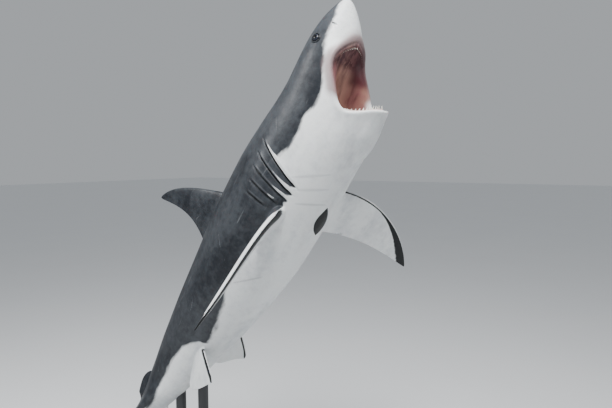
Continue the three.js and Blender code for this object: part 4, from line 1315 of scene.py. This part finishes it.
def tooth_material():
    n = Nodes("shark_tooth")
    grain = n.noise(n.place(), 180.0, 3.0)
    crown = n.mix(grain, ENAMEL, ENAMEL_SHADE)
    colour = n.mix(n.ramp(n.attribute("height"), 0.34, 0.18), crown, TOOTH_ROOT)
    return n.surface(Base_Color=colour, Roughness=0.22, Normal=n.bump(grain, 0.0006, 0.4))


def steel_material():
    n = Nodes("stand_paint")
    place = n.place()
    speckle = n.noise(place, 420.0, 3.0)
    return n.surface(
        Base_Color=n.mix(n.noise(place, 3.0, 4.0), STEEL_DARK, STEEL_LIGHT),
        Roughness=n.scaled(speckle, 0.2, 0.38),
        Metallic=0.2,
        Normal=n.bump(speckle, 0.0004, 0.5),
    )


def floor_material():
    n = Nodes("floor")
    colour = n.mix(n.noise(n.place(), 0.6, 2.0), *FLOOR_COLOURS)
    return n.surface(Base_Color=colour, Roughness=0.85)


# ---- the scene

FLOOR_REACH = 60


def add_floor():
    corners = [(x * FLOOR_REACH, y * FLOOR_REACH, 0) for x, y in ((-1, -1), (1, -1), (1, 1), (-1, 1))]
    mesh = mesh_of("floor", corners, [(0, 1, 2, 3)])
    floor = object_of("floor", mesh)
    mesh.materials.append(floor_material())


LIGHTS = [  # name, place, aim, size, watts
    ("key", (-1.9, -2.1, 6.3), (0.0, -0.8, 3.0), 1.8, 430),
    ("back", (-3.4, 2.6, 5.6), (0.0, 0.0, 2.2), 1.8, 260),
    ("fill", (3.2, -6.2, 3.4), (0.0, -0.5, 2.4), 4.0, 55),
]
SKY = {"Color": (0.80, 0.84, 0.88, 1), "Strength": 0.50}


def add_lights():
    for name, place, aim, size, watts in LIGHTS:
        lamp = bpy.data.lights.new(name, "AREA")
        lamp.shape = "DISK"
        lamp.size = size
        lamp.energy = watts
        thing = object_of(name, lamp)
        thing.location = place
        thing.rotation_euler = (Vector(aim) - Vector(place)).to_track_quat("-Z", "Y").to_euler()
    world = bpy.data.worlds.new("studio")
    world.use_nodes = True
    for key, value in SKY.items():
        world.node_tree.nodes["Background"].inputs[key].default_value = value
    bpy.context.scene.world = world


def add_camera():
    lens = bpy.data.cameras.new("camera")
    lens.sensor_width = SENSOR_WIDTH
    lens.lens = SENSOR_WIDTH * FOCAL_PIXELS / IMAGE_WIDTH
    forward = Vector(CAMERA_FORWARD).normalized()
    right = Vector(CAMERA_RIGHT)
    right = (right - forward * right.dot(forward)).normalized()
    up = right.cross(forward)
    camera = object_of("camera", lens)
    axes = Matrix((right, up, -forward)).transposed().to_4x4()
    camera.matrix_world = Matrix.Translation(CAMERA_PLACE) @ axes
    bpy.context.scene.camera = camera


def add_shark():
    skin = make_skin()
    skin.data.materials.append(skin_material())
    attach(skin, "root")
    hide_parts(*FLESH_NODES)
    gloss = eye_material()
    for side, node in ((1, "eye_left"), (-1, "eye_right")):
        eye = make_eye(side, "eyeball_" + node[4:])
        eye.data.materials.append(gloss)
        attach(eye, "root")
        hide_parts(node)
    enamel = tooth_material()
    upper = jaw_teeth("teeth_upper", upper_angle, UPPER_JAW_REACH, UPPER_TOOTH_LEAN, UPPER_TOOTH_SIZE, 1)
    lower = jaw_teeth("teeth_lower", lower_angle, LOWER_RIM["tip_reach"], LOWER_TOOTH_LEAN, 1, -1)
    for teeth in (upper, lower):
        teeth.data.materials.append(enamel)
        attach(teeth, "root")


def paint_stand():
    paint = steel_material()
    for thing in bpy.data.objects:
        if thing.name.startswith("stand_") and thing.type == "MESH":
            for slot in thing.material_slots:
                slot.material = paint


add_camera()
add_floor()
add_lights()
add_shark()
paint_stand()
